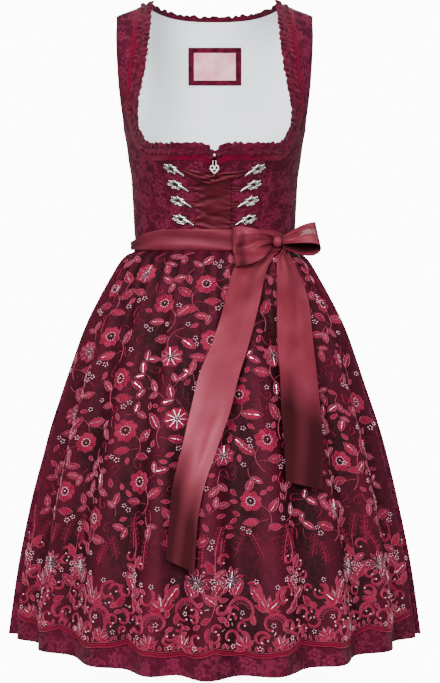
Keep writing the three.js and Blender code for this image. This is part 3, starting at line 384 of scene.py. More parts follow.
class Apron(Skirt):
    """The apron's outer face, which follows the skirt and has gathers of its own."""

    def point(self, angle: Array, row: Array) -> Array:
        """The apron's outer face, in millimetres."""
        height = SKIRT.read("apron", row)
        gather = height * (1 + np.cos(GATHERS * np.radians(angle)))
        fine = 0.3 * height * np.cos(2.6 * GATHERS * uneven(angle) + 0.7)
        return self.ring(angle, row, self.folds(angle, row) + APRON_LIFT + gather + fine)

    def speed(self, angle: Array, drop: Array) -> Array:
        """Millimetres round the smooth flare for a degree."""
        row = SKIRT.read("row", drop, "drop")
        reach = self.ring(angle + 0.5, row, 0) - self.ring(angle - 0.5, row, 0)
        return np.linalg.norm(reach, axis=-1)


@dataclass(frozen=True)
class Sash(Surface):
    """The satin band's outer face round the waist; its row is a height."""

    bottom: float = -405
    top: float = -370
    narrow_top: float = -390
    full_angle: float = 34
    half_angle: float = 82
    lift: float = 8

    def point(self, angle: Array, row: Array) -> Array:
        """The band's points, in millimetres."""
        angle = np.asarray(angle, float)
        cosine = np.cos(np.radians(angle))
        depth = np.where(cosine > 0, TORSO.first("front"), TORSO.first("back")) + self.lift
        x = (TORSO.first("half") + self.lift) * np.sin(np.radians(angle))
        return np.stack(np.broadcast_arrays(x, -depth * cosine, row), axis=-1)

    def upper_edge(self, angle: Array) -> Array:
        """The band's upper edge, which falls where the ribbon is drawn together."""
        share = smooth(self.full_angle, self.half_angle, np.abs(angle))
        return mix(self.top, self.narrow_top, share)


TORSO_FORM = Torso()
SKIRT_FORM = Skirt()
APRON_FORM = Apron()
SASH = Sash()

# ---- shader building


def colour(red: int, green: int, blue: int, gain: float = 0.5) -> tuple[float, float, float, float]:
    """A cloth's colour as it looks in the studio's bright light, as the linear colour that shaders take."""
    linear = [
        c / 255 / 12.92 if c <= 10 else ((c / 255 + 0.055) / 1.055) ** 2.4 for c in (red, green, blue)
    ]
    return (*(gain * c for c in linear), 1.0)


class Number:
    """A socket's value, on which Python arithmetic adds Math nodes."""

    def __init__(self, shader: "Shader", socket: bpy.types.NodeSocket) -> None:
        """Keeps the shader and the output socket."""
        self.shader, self.socket = shader, socket

    def _math(self, operation: str, *values: object) -> "Number":
        """A Math node on the given values."""
        return self.shader.node("ShaderNodeMath", {"operation": operation}, dict(enumerate(values)))

    def __add__(self, other: object) -> "Number":
        """Sum."""
        return self._math("ADD", self, other)

    __radd__ = __add__

    def __sub__(self, other: object) -> "Number":
        """Difference."""
        return self._math("SUBTRACT", self, other)

    def __rsub__(self, other: object) -> "Number":
        """Difference, with the plain number first."""
        return self._math("SUBTRACT", other, self)

    def __mul__(self, other: object) -> "Number":
        """Product."""
        return self._math("MULTIPLY", self, other)

    __rmul__ = __mul__

    def __abs__(self) -> "Number":
        """Size without sign."""
        return self._math("ABSOLUTE", self)

    def cosine(self) -> "Number":
        """Cosine, of radians."""
        return self._math("COSINE", self)

    def sine(self) -> "Number":
        """Sine, of radians."""
        return self._math("SINE", self)

    def larger(self, other: object) -> "Number":
        """The larger of two values."""
        return self._math("MAXIMUM", self, other)

    def step(self, low: object, high: object) -> "Number":
        """A smooth step from 0 at low to 1 at high; low may be the larger."""
        ports = {"Value": self, "From Min": low, "From Max": high}
        return self.shader.node("ShaderNodeMapRange", {"interpolation_type": "SMOOTHSTEP"}, ports)


class Shader:
    """A Principled material and the few ways in which this dress's finishes use its nodes."""

    def __init__(self, name: str) -> None:
        """Makes an empty Principled material."""
        self.material = bpy.data.materials.new(name)
        self.material.use_nodes = True
        self.tree = self.material.node_tree
        self.surface = self.tree.nodes["Principled BSDF"]

    def node(self, kind: str, settings: dict, ports: dict, output: object = 0) -> Number:
        """Adds a node.

        Args:
            kind: the node's type.
            settings: its own settings, set first.
            ports: values or links of its input sockets, by name or number.
            output: name or number of the output that is wanted.

        Returns:
            That output.
        """
        made = self.tree.nodes.new(kind)
        for name, value in settings.items():
            setattr(made, name, value)
        for port, value in ports.items():
            if isinstance(value, Number):
                self.tree.links.new(value.socket, made.inputs[port])
            else:
                made.inputs[port].default_value = value
        return Number(self, made.outputs[output])

    def cloth_place(self, stretch: tuple[float, float] = (1, 1), turn: float = 0) -> Number:
        """The place on the cloth, in metres along and across it, stretched and turned."""
        uv = self.node("ShaderNodeUVMap", {"uv_map": "cloth"}, {})
        ports = {"Vector": uv, "Scale": (*stretch, 1), "Rotation": (0, 0, math.radians(turn))}
        return self.node("ShaderNodeMapping", {}, ports)

    def body_place(self) -> Number:
        """The place in the dress, in metres."""
        return self.node("ShaderNodeTexCoord", {}, {}, "Object")

    def noise(self, place: Number, scale: float, detail: float = 2, warp: float = 0) -> Number:
        """Cloudy noise from 0 to 1."""
        ports = {"Vector": place, "Scale": scale, "Detail": detail, "Distortion": warp}
        return self.node("ShaderNodeTexNoise", {}, ports)

    def split(self, place: Number, axis: str) -> Number:
        """One coordinate of a place."""
        return self.node("ShaderNodeSeparateXYZ", {}, {0: place}, axis)

    def threads(self, place: Number, axis: str, pitch: float) -> Number:
        """A wave from -1 to 1 for threads at a pitch in metres along an axis."""
        return (self.split(place, axis) * (2 * math.pi / pitch)).sine()

    def tone(self) -> Number:
        """The tone that each vertex carries: painted light and shade on satin and organza, the silk's own
        tone on embroidery, tarnish on metal.
        """
        return self.node("ShaderNodeAttribute", {"attribute_name": "tone"}, {}, "Fac")

    def blend(self, share: object, low: object, high: object) -> Number:
        """A colour between two, by a share."""
        return self.node("ShaderNodeMix", {"data_type": "RGBA"}, {0: share, 6: low, 7: high}, 2)

    def bump(self, height: Number, depth: float) -> None:
        """Raises the surface by a height from 0 to 1, times a depth in metres."""
        ports = {"Height": height, "Distance": depth, "Strength": 1}
        self.connect(Normal=self.node("ShaderNodeBump", {}, ports))

    def connect(self, **ports: object) -> None:
        """Sets or links sockets of the Principled shader; an underscore stands for a space."""
        for name, value in ports.items():
            socket = self.surface.inputs[name.replace("_", " ")]
            if isinstance(value, Number):
                self.tree.links.new(value.socket, socket)
            else:
                socket.default_value = value


# ---- finishes


class Cloth:
    """A finish, which dresses an empty material of its own name."""

    name: str

    def make(self) -> Material:
        """Builds the material."""
        shader = Shader(self.name)
        self.dress(shader)
        return shader.material

    def dress(self, s: Shader) -> None:
        """Sets the material's nodes."""
        raise NotImplementedError


@dataclass(frozen=True)
class Brocade(Cloth):
    """Woven cloth with a tone-on-tone pattern of blossoms and tendrils."""

    name: str = "figured_brocade"
    ground: tuple = colour(93, 21, 46)
    figure: tuple = colour(122, 35, 64)
    shade: tuple = colour(64, 15, 35)
    blossom_pitch: float = 0.036
    thread_pitch: float = 0.0011

    def dress(self, s: Shader) -> None:
        """Sets the material's nodes."""
        place = s.cloth_place((1 / self.blossom_pitch, 1 / self.blossom_pitch))
        wavy = s.noise(place, 1.6, 1)
        flat = {"voronoi_dimensions": "2D"}
        ports = {"Vector": place, "Scale": 1.0, "Randomness": 0.75}
        reach = s.node("ShaderNodeTexVoronoi", flat, ports, "Distance")
        centre = s.node("ShaderNodeTexVoronoi", flat, ports, "Position")
        local = s.node("ShaderNodeVectorMath", {"operation": "SUBTRACT"}, {0: place, 1: centre})
        turn = s.split(local, "Y")._math("ARCTAN2", s.split(local, "Y"), s.split(local, "X"))
        petals = (turn * 6 + wavy * 5).cosine()
        edge = 0.27 + petals * 0.07
        blossom = (reach - edge).step(0.03, -0.03)
        eye = reach.step(0.07, 0.1) * reach.step(0.16, 0.13)
        tendrils = abs(s.noise(place, 1.5, 2, 0.8) - 0.5).step(0.05, 0.02)
        leaves = abs(s.noise(place, 3.1, 1, 1.2) - 0.5).step(0.035, 0.0)
        figure = (blossom - eye).larger(tendrils * 0.8).larger(leaves * 0.55)
        cloudy = s.noise(s.cloth_place((1, 1)), 14, 3)
        base = s.blend(cloudy.step(0.35, 0.7), self.shade, self.ground)
        s.connect(Base_Color=s.blend(figure, base, self.figure))
        weft = s.threads(s.cloth_place(), "Y", self.thread_pitch)
        warp = s.threads(s.cloth_place(), "X", self.thread_pitch)
        s.connect(Roughness=figure * -0.16 + 0.62)
        s.connect(Sheen_Weight=0.05, Sheen_Roughness=0.4, Sheen_Tint=colour(196, 84, 122, 1))
        s.connect(Specular_IOR_Level=0.22, Specular_Tint=colour(255, 110, 150, 1))
        s.bump(figure * 0.7 + weft * warp * 0.15, 0.00045)


@dataclass(frozen=True)
class Satin(Cloth):
    """Glossy ribbon cloth, fine ribs across it and a soft sheen; each vertex's tone paints shade and
    highlights.
    """

    name: str = "ribbon_satin"
    base: tuple = colour(152, 58, 76)
    deep: tuple = colour(134, 44, 60)
    shadow: tuple = colour(44, 2, 8)
    roughness: float = 0.36
    rib_pitch: float = 0.0008

    def dress(self, s: Shader) -> None:
        """Sets the material's nodes."""
        place = s.cloth_place()
        cloudy = s.noise(place, 18, 2).step(0.3, 0.72)
        tone = s.tone()
        # Painted light and shade: the vertex tone blends the satin from its lit colour towards its shadow
        # colour.
        s.connect(Base_Color=s.blend(tone, s.blend(cloudy, self.deep, self.base), self.shadow))
        ribs = s.threads(place, "Y", self.rib_pitch)
        rumple = s.noise(s.cloth_place((1, 3.5)), 60, 2)
        s.connect(Roughness=tone * 0.4 + self.roughness)
        s.connect(Sheen_Weight=0.02, Sheen_Roughness=0.35, Sheen_Tint=colour(230, 130, 150, 1))
        s.connect(Specular_IOR_Level=0.33, Specular_Tint=colour(255, 150, 170, 1), Anisotropic=0.4)
        s.bump(ribs * 0.04 + rumple * 0.5, 0.0002)


@dataclass(frozen=True)
class Plain(Cloth):
    """Plain woven or knitted cloth in two near tones."""

    name: str
    light: tuple
    dark: tuple
    roughness: float = 0.8
    thread_pitch: float = 0.001
    cloud_scale: float = 22
    depth: float = 0.0002
    sheen: float = 0.1

    def dress(self, s: Shader) -> None:
        """Sets the material's nodes."""
        place = s.cloth_place()
        cloudy = s.noise(place, self.cloud_scale, 3).step(0.3, 0.7)
        s.connect(Base_Color=s.blend(cloudy, self.dark, self.light), Roughness=self.roughness)
        weave = s.threads(place, "X", self.thread_pitch) * s.threads(place, "Y", self.thread_pitch)
        s.connect(Sheen_Weight=self.sheen, Sheen_Roughness=0.4)
        s.connect(Specular_Tint=self.light, Specular_IOR_Level=0.35)
        s.bump(weave * 0.5, self.depth)


@dataclass(frozen=True)
class Organza(Cloth):
    """The apron's dark sheer ground, through which the brocade below shows a little, with painted light from
    each vertex's tone.
    """

    name: str = "organza"
    dark: tuple = colour(42, 2, 15)
    glimpse_and_painted_light: tuple = colour(108, 16, 48)
    net_pitch: float = 0.0013

    def dress(self, s: Shader) -> None:
        """Sets the material's nodes."""
        place = s.cloth_place()
        broad = s.noise(place, 7, 2).step(0.38, 0.66)
        woven = abs(s.noise(place, 55, 2, 0.8) - 0.5).step(0.08, 0.02)
        tone = s.tone()
        # The vertex tone paints highlights on fold and gather crests and shade in the troughs between them.
        s.connect(Base_Color=s.blend(broad * 0.25 + woven * 0.2 + tone * 0.62, self.dark, self.glimpse_and_painted_light))
        mesh = s.threads(place, "X", self.net_pitch) * s.threads(place, "Y", self.net_pitch)
        s.connect(Roughness=0.65, Sheen_Weight=0.03, Sheen_Roughness=0.3, Specular_IOR_Level=0.1)
        s.connect(Sheen_Tint=colour(190, 50, 100, 1))
        s.bump(mesh * 0.5, 0.0002)


@dataclass(frozen=True)
class Thread(Cloth):
    """Embroidery silk, whose tone each stitch carries as an attribute from 0, deep, to 1, pale."""

    name: str = "embroidery_silk"
    tones: tuple = (colour(96, 8, 34), colour(144, 20, 54), colour(182, 44, 82), colour(222, 110, 140))
    stitch_pitch: float = 0.0009

    def dress(self, s: Shader) -> None:
        """Sets the material's nodes."""
        tone = s.tone()
        place = s.cloth_place()
        tinted = tone + (s.noise(place, 120, 2) - 0.5) * 0.25
        shade = s.blend(tinted.step(0.0, 0.34), self.tones[0], self.tones[1])
        shade = s.blend(tinted.step(0.3, 0.68), shade, self.tones[2])
        shade = s.blend(tinted.step(0.66, 1.0), shade, self.tones[3])
        stitches = s.threads(place, "X", self.stitch_pitch)
        s.connect(Base_Color=shade, Roughness=0.42, Specular_IOR_Level=0.3, Specular_Tint=self.tones[3])
        s.bump(stitches * 0.5 + 0.5, 0.00025)


@dataclass(frozen=True)
class Glass(Cloth):
    """Glass beads with a silvery lining, or pearls."""

    name: str
    light: tuple
    dark: tuple
    metallic: float
    roughness: float = 0.12

    def dress(self, s: Shader) -> None:
        """Sets the material's nodes."""
        cloudy = s.noise(s.body_place(), 260, 1).step(0.35, 0.65)
        s.connect(Base_Color=s.blend(cloudy, self.dark, self.light), Roughness=self.roughness)
        s.connect(Metallic=self.metallic, Coat_Weight=0.6, Coat_Roughness=0.05)


@dataclass(frozen=True)
class Silver(Cloth):
    """Cast silver-coloured metal, bright on top and tarnished in its hollows."""

    name: str = "cast_silver"
    bright: tuple = colour(228, 226, 220, 0.9)
    tarnish: tuple = colour(46, 40, 38, 0.9)

    def dress(self, s: Shader) -> None:
        """Sets the material's nodes."""
        grain = s.noise(s.body_place(), 900, 3)
        spots = s.noise(s.body_place(), 240, 2).step(0.62, 0.36)
        tone = s.tone()
        s.connect(Base_Color=s.blend(spots * 0.35 + tone * 0.65, self.bright, self.tarnish), Metallic=1.0)
        s.connect(Roughness=grain * 0.2 + 0.16)
        s.bump(grain, 0.00012)


class Finish(Enum):
    """The finishes of the dress by the names of their materials."""

    BROCADE = Brocade()
    PIPING = Plain("crimson_binding", colour(130, 10, 52), colour(104, 8, 42), 0.6, 0.0012, 60, 0.0003, 0.1)
    LINING = Plain("white_lining", colour(244, 246, 250, 1), colour(236, 240, 247, 1), 0.7, 0.0009, 12)
    RUCHE = Plain("ruched_taffeta", colour(128, 32, 62), colour(78, 14, 38), 0.5, 0.0009, 90, 0.0003, 0.06)
    ORGANZA = Organza()
    SATIN = Satin()
    LACE = Satin("lacing_satin", colour(104, 26, 42), colour(80, 16, 30), colour(50, 8, 18), 0.42)
    THREAD = Thread()
    SEWING = Plain("sewing_thread", colour(128, 30, 58), colour(100, 20, 44), 0.5, 0.0005, 200, 0.0001)
    PEARL = Glass("pearl_beads", colour(240, 184, 198, 0.75), colour(206, 130, 154, 0.75), 0.2, 0.2)
    BUGLE = Glass("bugle_beads", colour(240, 206, 216, 0.75), colour(150, 104, 120, 0.75), 0.8, 0.22)
    JET = Glass("dark_beads", colour(30, 12, 18), colour(14, 6, 10), 0.2, 0.1)
    SILVER = Silver()
    LACQUER = Silver("lacquered_metal", colour(96, 20, 42), colour(40, 6, 16))
    LABEL = Plain(
        "patch_satin", colour(240, 186, 198, 0.95), colour(222, 140, 160, 0.95), 0.5, 0.0007, 34, 0.0002
    )
    TAPE = Plain("zip_tape_weave", colour(66, 16, 30), colour(48, 10, 22), 0.75, 0.0016)

    def material(self) -> Material:
        """The material, made when it is first asked for."""
        return bpy.data.materials.get(self.value.name) or self.value.make()


# ---- making meshes


def deselect() -> None:
    """Leaves nothing selected."""
    bpy.ops.object.select_all(action="DESELECT")


def mesh_object(name: str, points: Array, faces: list, finishes: Sequence[Finish]) -> Bpy:
    """A new object with a mesh, its place in its vertices.

    Args:
        name: the piece's name.
        points: vertices, in millimetres.
        faces: lists of vertex numbers.
        finishes: one finish for each material slot.

    Returns:
        The object.
    """
    mesh = bpy.data.meshes.new(name)
    mesh.from_pydata((np.asarray(points).reshape(-1, 3) * MM).tolist(), [], faces)
    for finish in finishes:
        mesh.materials.append(finish.material())
    made = bpy.data.objects.new(name, mesh)
    bpy.context.scene.collection.objects.link(made)
    return made


def set_uv(made: Bpy, uv: Array) -> None:
    """Gives each vertex its place on the cloth, from millimetres."""
    mesh = made.data
    layer = mesh.uv_layers.new(name="cloth")
    corners = np.zeros(len(mesh.loops), dtype=np.int64)
    mesh.loops.foreach_get("vertex_index", corners)
    layer.uv.foreach_set("vector", (np.asarray(uv).reshape(-1, 2)[corners] * MM).ravel())


def set_tone(made: Bpy, tone: Array) -> None:
    """Gives each vertex the tone that its finish reads: painted light and shade on satin and organza."""
    layer = made.data.attributes.new("tone", "FLOAT", "POINT")
    layer.data.foreach_set("value", tone.astype(np.float32))


def pick(made: Bpy) -> None:
    """Selects one piece alone."""
    deselect()
    made.select_set(True)
    bpy.context.view_layer.objects.active = made


def smooth_shaded(made: Bpy, angle: float = 40) -> Bpy:
    """Shades a piece smooth, but for edges sharper than an angle."""
    pick(made)
    bpy.ops.object.shade_smooth_by_angle(angle=math.radians(angle))
    made.select_set(False)
    return made


def wall(
    name: str, outer: Array, inner: Array, finish: Finish, inside: Finish | None = None, ring: bool = False,
    tone: Array | None = None
) -> Bpy:
    """A closed thin wall of cloth.

    Args:
        name: the piece's name.
        outer: rows of points of the outer face, in millimetres.
        inner: the same of the inner face.
        finish: the outer face's finish, and the rims'.
        inside: the inner face's, where it differs.
        ring: whether the rows close on themselves.
        tone: a shade for each point of a face, from 0 to 1.

    Returns:
        The object, with its cloth's lengths as its UV map.
    """
    rows, columns = outer.shape[:2]
    spans = columns if ring else columns - 1
    i, j = np.meshgrid(np.arange(rows - 1), np.arange(spans), indexing="ij")
    corners = np.stack([i * columns + j, i * columns + (j + 1) % columns], axis=-1)
    corners = np.concatenate([corners, corners[..., ::-1] + columns], axis=-1).reshape(-1, 4)
    back = corners[:, ::-1] + rows * columns
    rims = []
    other = rows * columns
    for k in range(spans):
        n = (k + 1) % columns
        top = (rows - 1) * columns
        rims.append([k, k + other, n + other, n])
        rims.append([top + k, top + n, top + n + other, top + k + other])
    if not ring:
        for k in range(rows - 1):
            a, b = k * columns, (k + 1) * columns
            rims.append([a, b, b + other, a + other])
            rims.append([a + columns - 1, a + columns - 1 + other, b + columns - 1 + other, b + columns - 1])
    faces = corners.tolist() + back.tolist() + rims
    points = np.concatenate([outer.reshape(-1, 3), inner.reshape(-1, 3)])
    finishes = [finish] + ([inside] if inside else [])
    made = mesh_object(name, points, faces, finishes)
    if inside:
        slots = np.zeros(len(faces), dtype=np.int32)
        slots[len(corners) : len(corners) + len(back)] = 1
        made.data.polygons.foreach_set("material_index", slots)
    across, up = arc_lengths(outer, 1), arc_lengths(outer, 0)
    middle = slice(columns // 2, columns // 2 + 1)
    uv = np.stack([across - across[:, middle], up[:, middle] + 0 * across], axis=-1)
    set_uv(made, np.concatenate([uv, uv]))
    if tone is not None:
        set_tone(made, np.concatenate([tone.ravel(), tone.ravel()]))
    if volume_of(points, faces) < 0:
        made.data.flip_normals()
    return smooth_shaded(made)


def ring_faces(count: int, rings: int, closed: bool = False, first: int = 0) -> list[list[int]]:
    """Faces between rings of vertices that follow each other, back to the first ring if closed."""
    faces = []
    for level in range(rings if closed else rings - 1):
        low, high = first + level * count, first + (level + 1) % rings * count
        faces += [[low + k, low + (k + 1) % count, high + (k + 1) % count, high + k] for k in range(count)]
    return faces


def volume_of(points: Array, faces: list) -> float:
    """Six times the volume that the faces enclose, below zero where they are turned inwards."""
    corners = np.array([face[:3] for face in faces])
    rest = np.array([[face[0], face[2], face[-1]] for face in faces])
    total = 0.0
    for triangles in (corners, rest):
        a, b, c = (points[triangles[:, k]] for k in range(3))
        total += float(np.einsum("ij,ij->i", a, np.cross(b, c)).sum())
    return total


def ribbon(name: str, face: Array, thickness: float, finish: Finish, tone: Array | None = None) -> Bpy:
    """A free ribbon whose thickness lies behind the face that its rows show."""
    up = np.gradient(face, axis=0)
    across = np.gradient(face, axis=1)
    normal = unit(np.cross(across, up))
    return wall(name, face, face - normal * thickness, finish, tone=tone)


def cloth_on(
    surface: Surface, name: str, places: Places, thickness: float, finish: Finish,
    inside: Finish | None = None, lift: Array = 0.0, rolled: tuple[float, float] = (0.0, 0.0),
    tone: Array | None = None
) -> Bpy:
    """A wall of cloth on a surface.

    Args:
        surface: the form that it lies on.
        name: the piece's name.
        places: angles and rows of its grid.
        thickness: in millimetres.
        finish: the outer face's finish.
        inside: the inner face's, where it differs.
        lift: the outer face's distance from the surface.
        rolled: depth and width of the roll into the seams at the first and last columns.
        tone: a shade for each point, from 0 to 1.

    Returns:
        The object.
    """
    angle, row = places
    face = surface.lifted(angle, row, lift)
    if rolled[0]:
        across = arc_lengths(face, 1)
        nearest = np.minimum(across, across[:, -1:] - across)
        lift = lift - rolled[0] * np.exp(-((nearest / rolled[1]) ** 2))
        face = surface.lifted(angle, row, lift)
    return wall(name, face, surface.lifted(angle, row, lift - thickness), finish, inside, tone=tone)


def joined(name: str, parts: list[Bpy]) -> Bpy:
    """Joins pieces into one and names it."""
    deselect()
    for part in parts:
        part.select_set(True)
    bpy.context.view_layer.objects.active = parts[0]
    if len(parts) > 1:
        bpy.ops.object.join()
    parts[0].name = name
    parts[0].data.name = name
    parts[0].select_set(False)
    return parts[0]


def settle(made: Bpy) -> Bpy:
    """Puts a piece's place into its mesh, so that its object sits at the origin."""
    pick(made)
    bpy.ops.object.transform_apply(location=True, rotation=True, scale=True)
    made.select_set(False)
    return made


def outward_faces(made: Bpy) -> Bpy:
    """Turns all faces of a mesh of closed shells outwards."""
    pick(made)
    bpy.ops.object.mode_set(mode="EDIT")
    bpy.ops.mesh.select_all(action="SELECT")
    bpy.ops.mesh.normals_make_consistent(inside=False)
    bpy.ops.object.mode_set(mode="OBJECT")
    made.select_set(False)
    return made


def rides(made: Bpy, slot: str, *nodes: str, body: str = DRESS) -> Bpy:
    """Makes a piece ride on a body and stand for solids."""
    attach(made, body)
    if nodes:
        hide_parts(*nodes)
    LOG.info("%s: %d faces, for %s", made.name, len(made.data.polygons), ", ".join(nodes) or "detail")
    return made


def surface_area(made: Bpy) -> float:
    """A mesh's area in square metres."""
    areas = np.zeros(len(made.data.polygons))
    made.data.polygons.foreach_get("area", areas)
    return float(areas.sum())


def declare_sheet(made: Bpy, held: str, *rests_on: str) -> None:
    """Works out a sheet's cut, measured along its threads, and a face's area, and keeps neither."""
    places = np.zeros(2 * len(made.data.loops))
    made.data.uv_layers["cloth"].uv.foreach_get("vector", places)
    width, length = (round(max(float(v), 0.01), 4) for v in np.ptp(places.reshape(-1, 2), axis=0))
    area = min(surface_area(made) / 2, width * length)


def sewn(made: Bpy, slot: str, held: str, nodes: Sequence[str] = (), under: Sequence[str] = ()) -> None:
    rides(made, slot, *nodes)
    declare_sheet(made, held, *under)


# ---- bodice


@dataclass
class Bodice:
    """The fitted bodice: brocade panels, white lining and the bare maker's patch."""

    rows: int = 46
    lining: float = 0.7
    roll: tuple[float, float] = (1.1, 2.6)
    patch: dict[str, float] = field(
        default_factory=lambda: {"half": 47, "height": 33, "z": -82, "face": 37, "face_height": 24}
    )
    corner_row: float = float(TORSO.read("row", FRONT_CORNER_H, "h"))
    back_corner_row: float = float(TORSO.read("row", BACK_CORNER_H, "h"))
    underarm_row: float = float(TORSO.read("row", UNDERARM_H, "h"))

    def princess(self, row: Array) -> Array:
        """The front princess seam's angle."""
        return TORSO_FORM.front_angle(FRONT_PRINCESS.read("x", TORSO.read("h", row), "h"), row)

    def neck(self, row: Array) -> Array:
        """The front neckline's angle above the princess seam."""
        return TORSO_FORM.front_angle(NECKLINE.read("x", TORSO.read("h", row), "h"), row)

    def back_princess(self, row: Array) -> Array:
        """The back princess seam's angle."""
        return 180 - TORSO_FORM.front_angle(BACK_PRINCESS.read("x", TORSO.read("h", row), "h"), row)

    def front_centre(self) -> Places:
        """Places of the panel from the zip to the princess seam."""
        share = np.linspace(0, 1, 33) ** 1.15
        top = TORSO.read("row", NECK_BOTTOM.read("h", share, "share"), "h")
        row = np.linspace(0, 1, self.rows)[:, None] * top
        inner = TORSO_FORM.front_angle(ZIP_OPENING / 2, row)
        outer = TORSO_FORM.moved(self.princess(row), row, -SEWN)
        return mix(inner, outer, share), row

    def front_side(self) -> Places:
        """Places of the side panel with its strap."""
        low, high = np.linspace(0, 1, self.rows), np.linspace(0, 1, self.rows + 6)[1:]
        inner = np.concatenate([self.corner_row * low, mix(self.corner_row, RIDGE_ROW, high)])
        outer = np.concatenate([self.underarm_row * low, mix(self.underarm_row, RIDGE_ROW, high)])
        first = np.where(
            np.arange(len(inner)) < len(low), TORSO_FORM.moved(self.princess(inner), inner, SEWN),
            self.neck(inner)
        )
        last = np.where(
            np.arange(len(outer)) < len(low), TORSO_FORM.moved(90.0 + 0 * outer, outer, -SEWN),
            TORSO_FORM.armhole_angle(outer, "front")
        )
        share = np.linspace(0, 1, 41)
        return mix(first[:, None], last[:, None], share), mix(inner[:, None], outer[:, None], share)

    def back_side(self) -> Places:
        """Places of the panel from the side seam to the back princess seam."""
        columns = np.linspace(0, 1, 25)
        top = mix(self.underarm_row, self.back_corner_row, columns)

        def edges(row: Array) -> Places:
            """Angles of the side seam and of the princess seam at a row."""
            side = TORSO_FORM.moved(90.0 + 0 * row, row, SEWN)
            return side, TORSO_FORM.moved(self.back_princess(row), row, -SEWN)

        side, inner = edges(top)
        cut = TORSO_FORM.armhole_angle(top, "back")
        cut[0], cut[-1] = side[0], inner[-1]
        top_share = (cut - side) / (inner - side)
        up = np.linspace(0, 1, self.rows)[:, None]
        row = up * top
        side, inner = edges(row)
        return mix(side, inner, mix(columns, top_share, up**2)), row

    def back_edge(self, row: Array) -> Array:
        """The back panel's edge: its princess seam, then the armhole."""
        seam = TORSO_FORM.moved(self.back_princess(row), row, SEWN)
        return np.where(row <= self.back_corner_row, seam, TORSO_FORM.armhole_angle(row, "back"))

    def back_top(self, share: Array) -> Array:
        """The back's upper edge: the neckline, then the shoulder seam."""
        centre_z, shoulder_z, power = -6, 11.5, 3

        def above(row: Array) -> Array:
            """How far a row lies above the cut."""
            point = TORSO_FORM.point(180 + share * (180 - self.back_edge(row)), row)
            out = np.clip(np.abs(point[..., 0]) / NECKLINE.last("x"), 0, 1)
            return point[..., 2] - mix(centre_z, shoulder_z, out**power)

        found = solve(above, np.zeros_like(share), self.back_corner_row, RIDGE_ROW + 0.01)
        return np.minimum(RIDGE_ROW, found)

    def back_shares(self, neck: int, strap: int) -> Array:
        """Shares of the half width across the back, with the neckline's corners among them."""
        ridge = np.array(RIDGE_ROW)
        reach = 180 - TORSO_FORM.armhole_angle(ridge, "back")

        def across(share: Array) -> Array:
            """How far from the middle a share of the half width lies."""
            return TORSO_FORM.point(180 - share * reach, ridge + 0 * share)[..., 0]

        corner = float(solve(across, NECKLINE.last("x"), 0, 1))
        half = np.concatenate([np.linspace(0, corner, neck + 1), np.linspace(corner, 1, strap + 1)[1:]])
        return np.concatenate([-half[:0:-1], half])

    def back_centre(self, limit: float = RIDGE_ROW) -> Places:
        """Places of the back with its two straps, up to a row."""
        share = self.back_shares(26, 18)
        low = np.linspace(0, self.back_corner_row, self.rows)[:, None] + 0 * share
        top = np.minimum(self.back_top(share), limit)
        high = mix(self.back_corner_row, top, np.linspace(0, 1, 40)[1:, None])
        row = np.concatenate([low, high])
        return 180 + share * (180 - self.back_edge(row)), row

    @staticmethod
    def mirrored(places: Places) -> Places:
        """The same places on the wearer's other side."""
        return -places[0][:, ::-1], places[1][:, ::-1]

    def build(self) -> None:
        """Builds and dresses the panels, the lining and the patch."""
        pairs = {
            "front_centre": self.front_centre(), "front_side": self.front_side(),
            "back_side": self.back_side()
        }
        for name, places in pairs.items():
            inside = Finish.LINING if name.startswith("front") else None
            for side, chosen in (("left", places), ("right", self.mirrored(places))):
                label = f"{name}_{side}"
                panel = cloth_on(
                    TORSO_FORM, f"{label}_brocade", chosen, CLOTH, Finish.BROCADE, inside, rolled=self.roll
                )
                sewn(panel, "brocade", "stretched", [label])
        back = self.back_centre()
        panel = cloth_on(TORSO_FORM, "back_centre_brocade", back, CLOTH, Finish.BROCADE, rolled=self.roll)
        sewn(panel, "brocade", "stretched", ["back_centre"])
        under = -CLOTH - SEAM_GAP - LINING_GAP
        for side, chosen in (("left", self.back_side()), ("right", self.mirrored(self.back_side()))):
            cloth = cloth_on(
                TORSO_FORM, f"lining_side_{side}_cloth", chosen, self.lining, Finish.LINING, lift=under
            )
            sewn(cloth, "lining", "stretched", [f"lining_side_{side}"], [f"back_side_{side}_brocade"])
        inner = self.back_centre(RIDGE_ROW - LINING_BELOW_RIDGE)
        cloth = cloth_on(TORSO_FORM, "lining_back_cloth", inner, self.lining, Finish.LINING, lift=under)
        sewn(cloth, "lining", "stretched", ["lining_back"], ["back_centre_brocade"])
        self.build_patch(under - self.lining)

    def build_patch(self, under: float) -> None:
        """Builds the bare woven patch inside the back, on its border."""
        size = self.patch
        border = self.patch_sheet(
            "patch_border_cloth", size["half"], size["height"], under - 0.1, Finish.RUCHE
        )
        sewn(border, "frill", "laid", ["patch_border"], ["lining_back_cloth"])
        face = self.patch_sheet(
            "patch_face_cloth", size["face"], size["face_height"], under - 1.3, Finish.LABEL
        )
        sewn(face, "patch", "laid", ["patch_face"], ["patch_border_cloth"])

    def patch_sheet(self, name: str, half: float, height: float, lift: float, finish: Finish) -> Bpy:
        """A flat rectangle of cloth against the back's lining."""
        x = np.linspace(half, -half, 36)[None, :]
        z = self.patch["z"] + np.linspace(-height, height, 24)[:, None]
        return cloth_on(TORSO_FORM, name, TORSO_FORM.place(x, z, behind=True), 0.9, finish, lift=lift)


# ---- neck frill


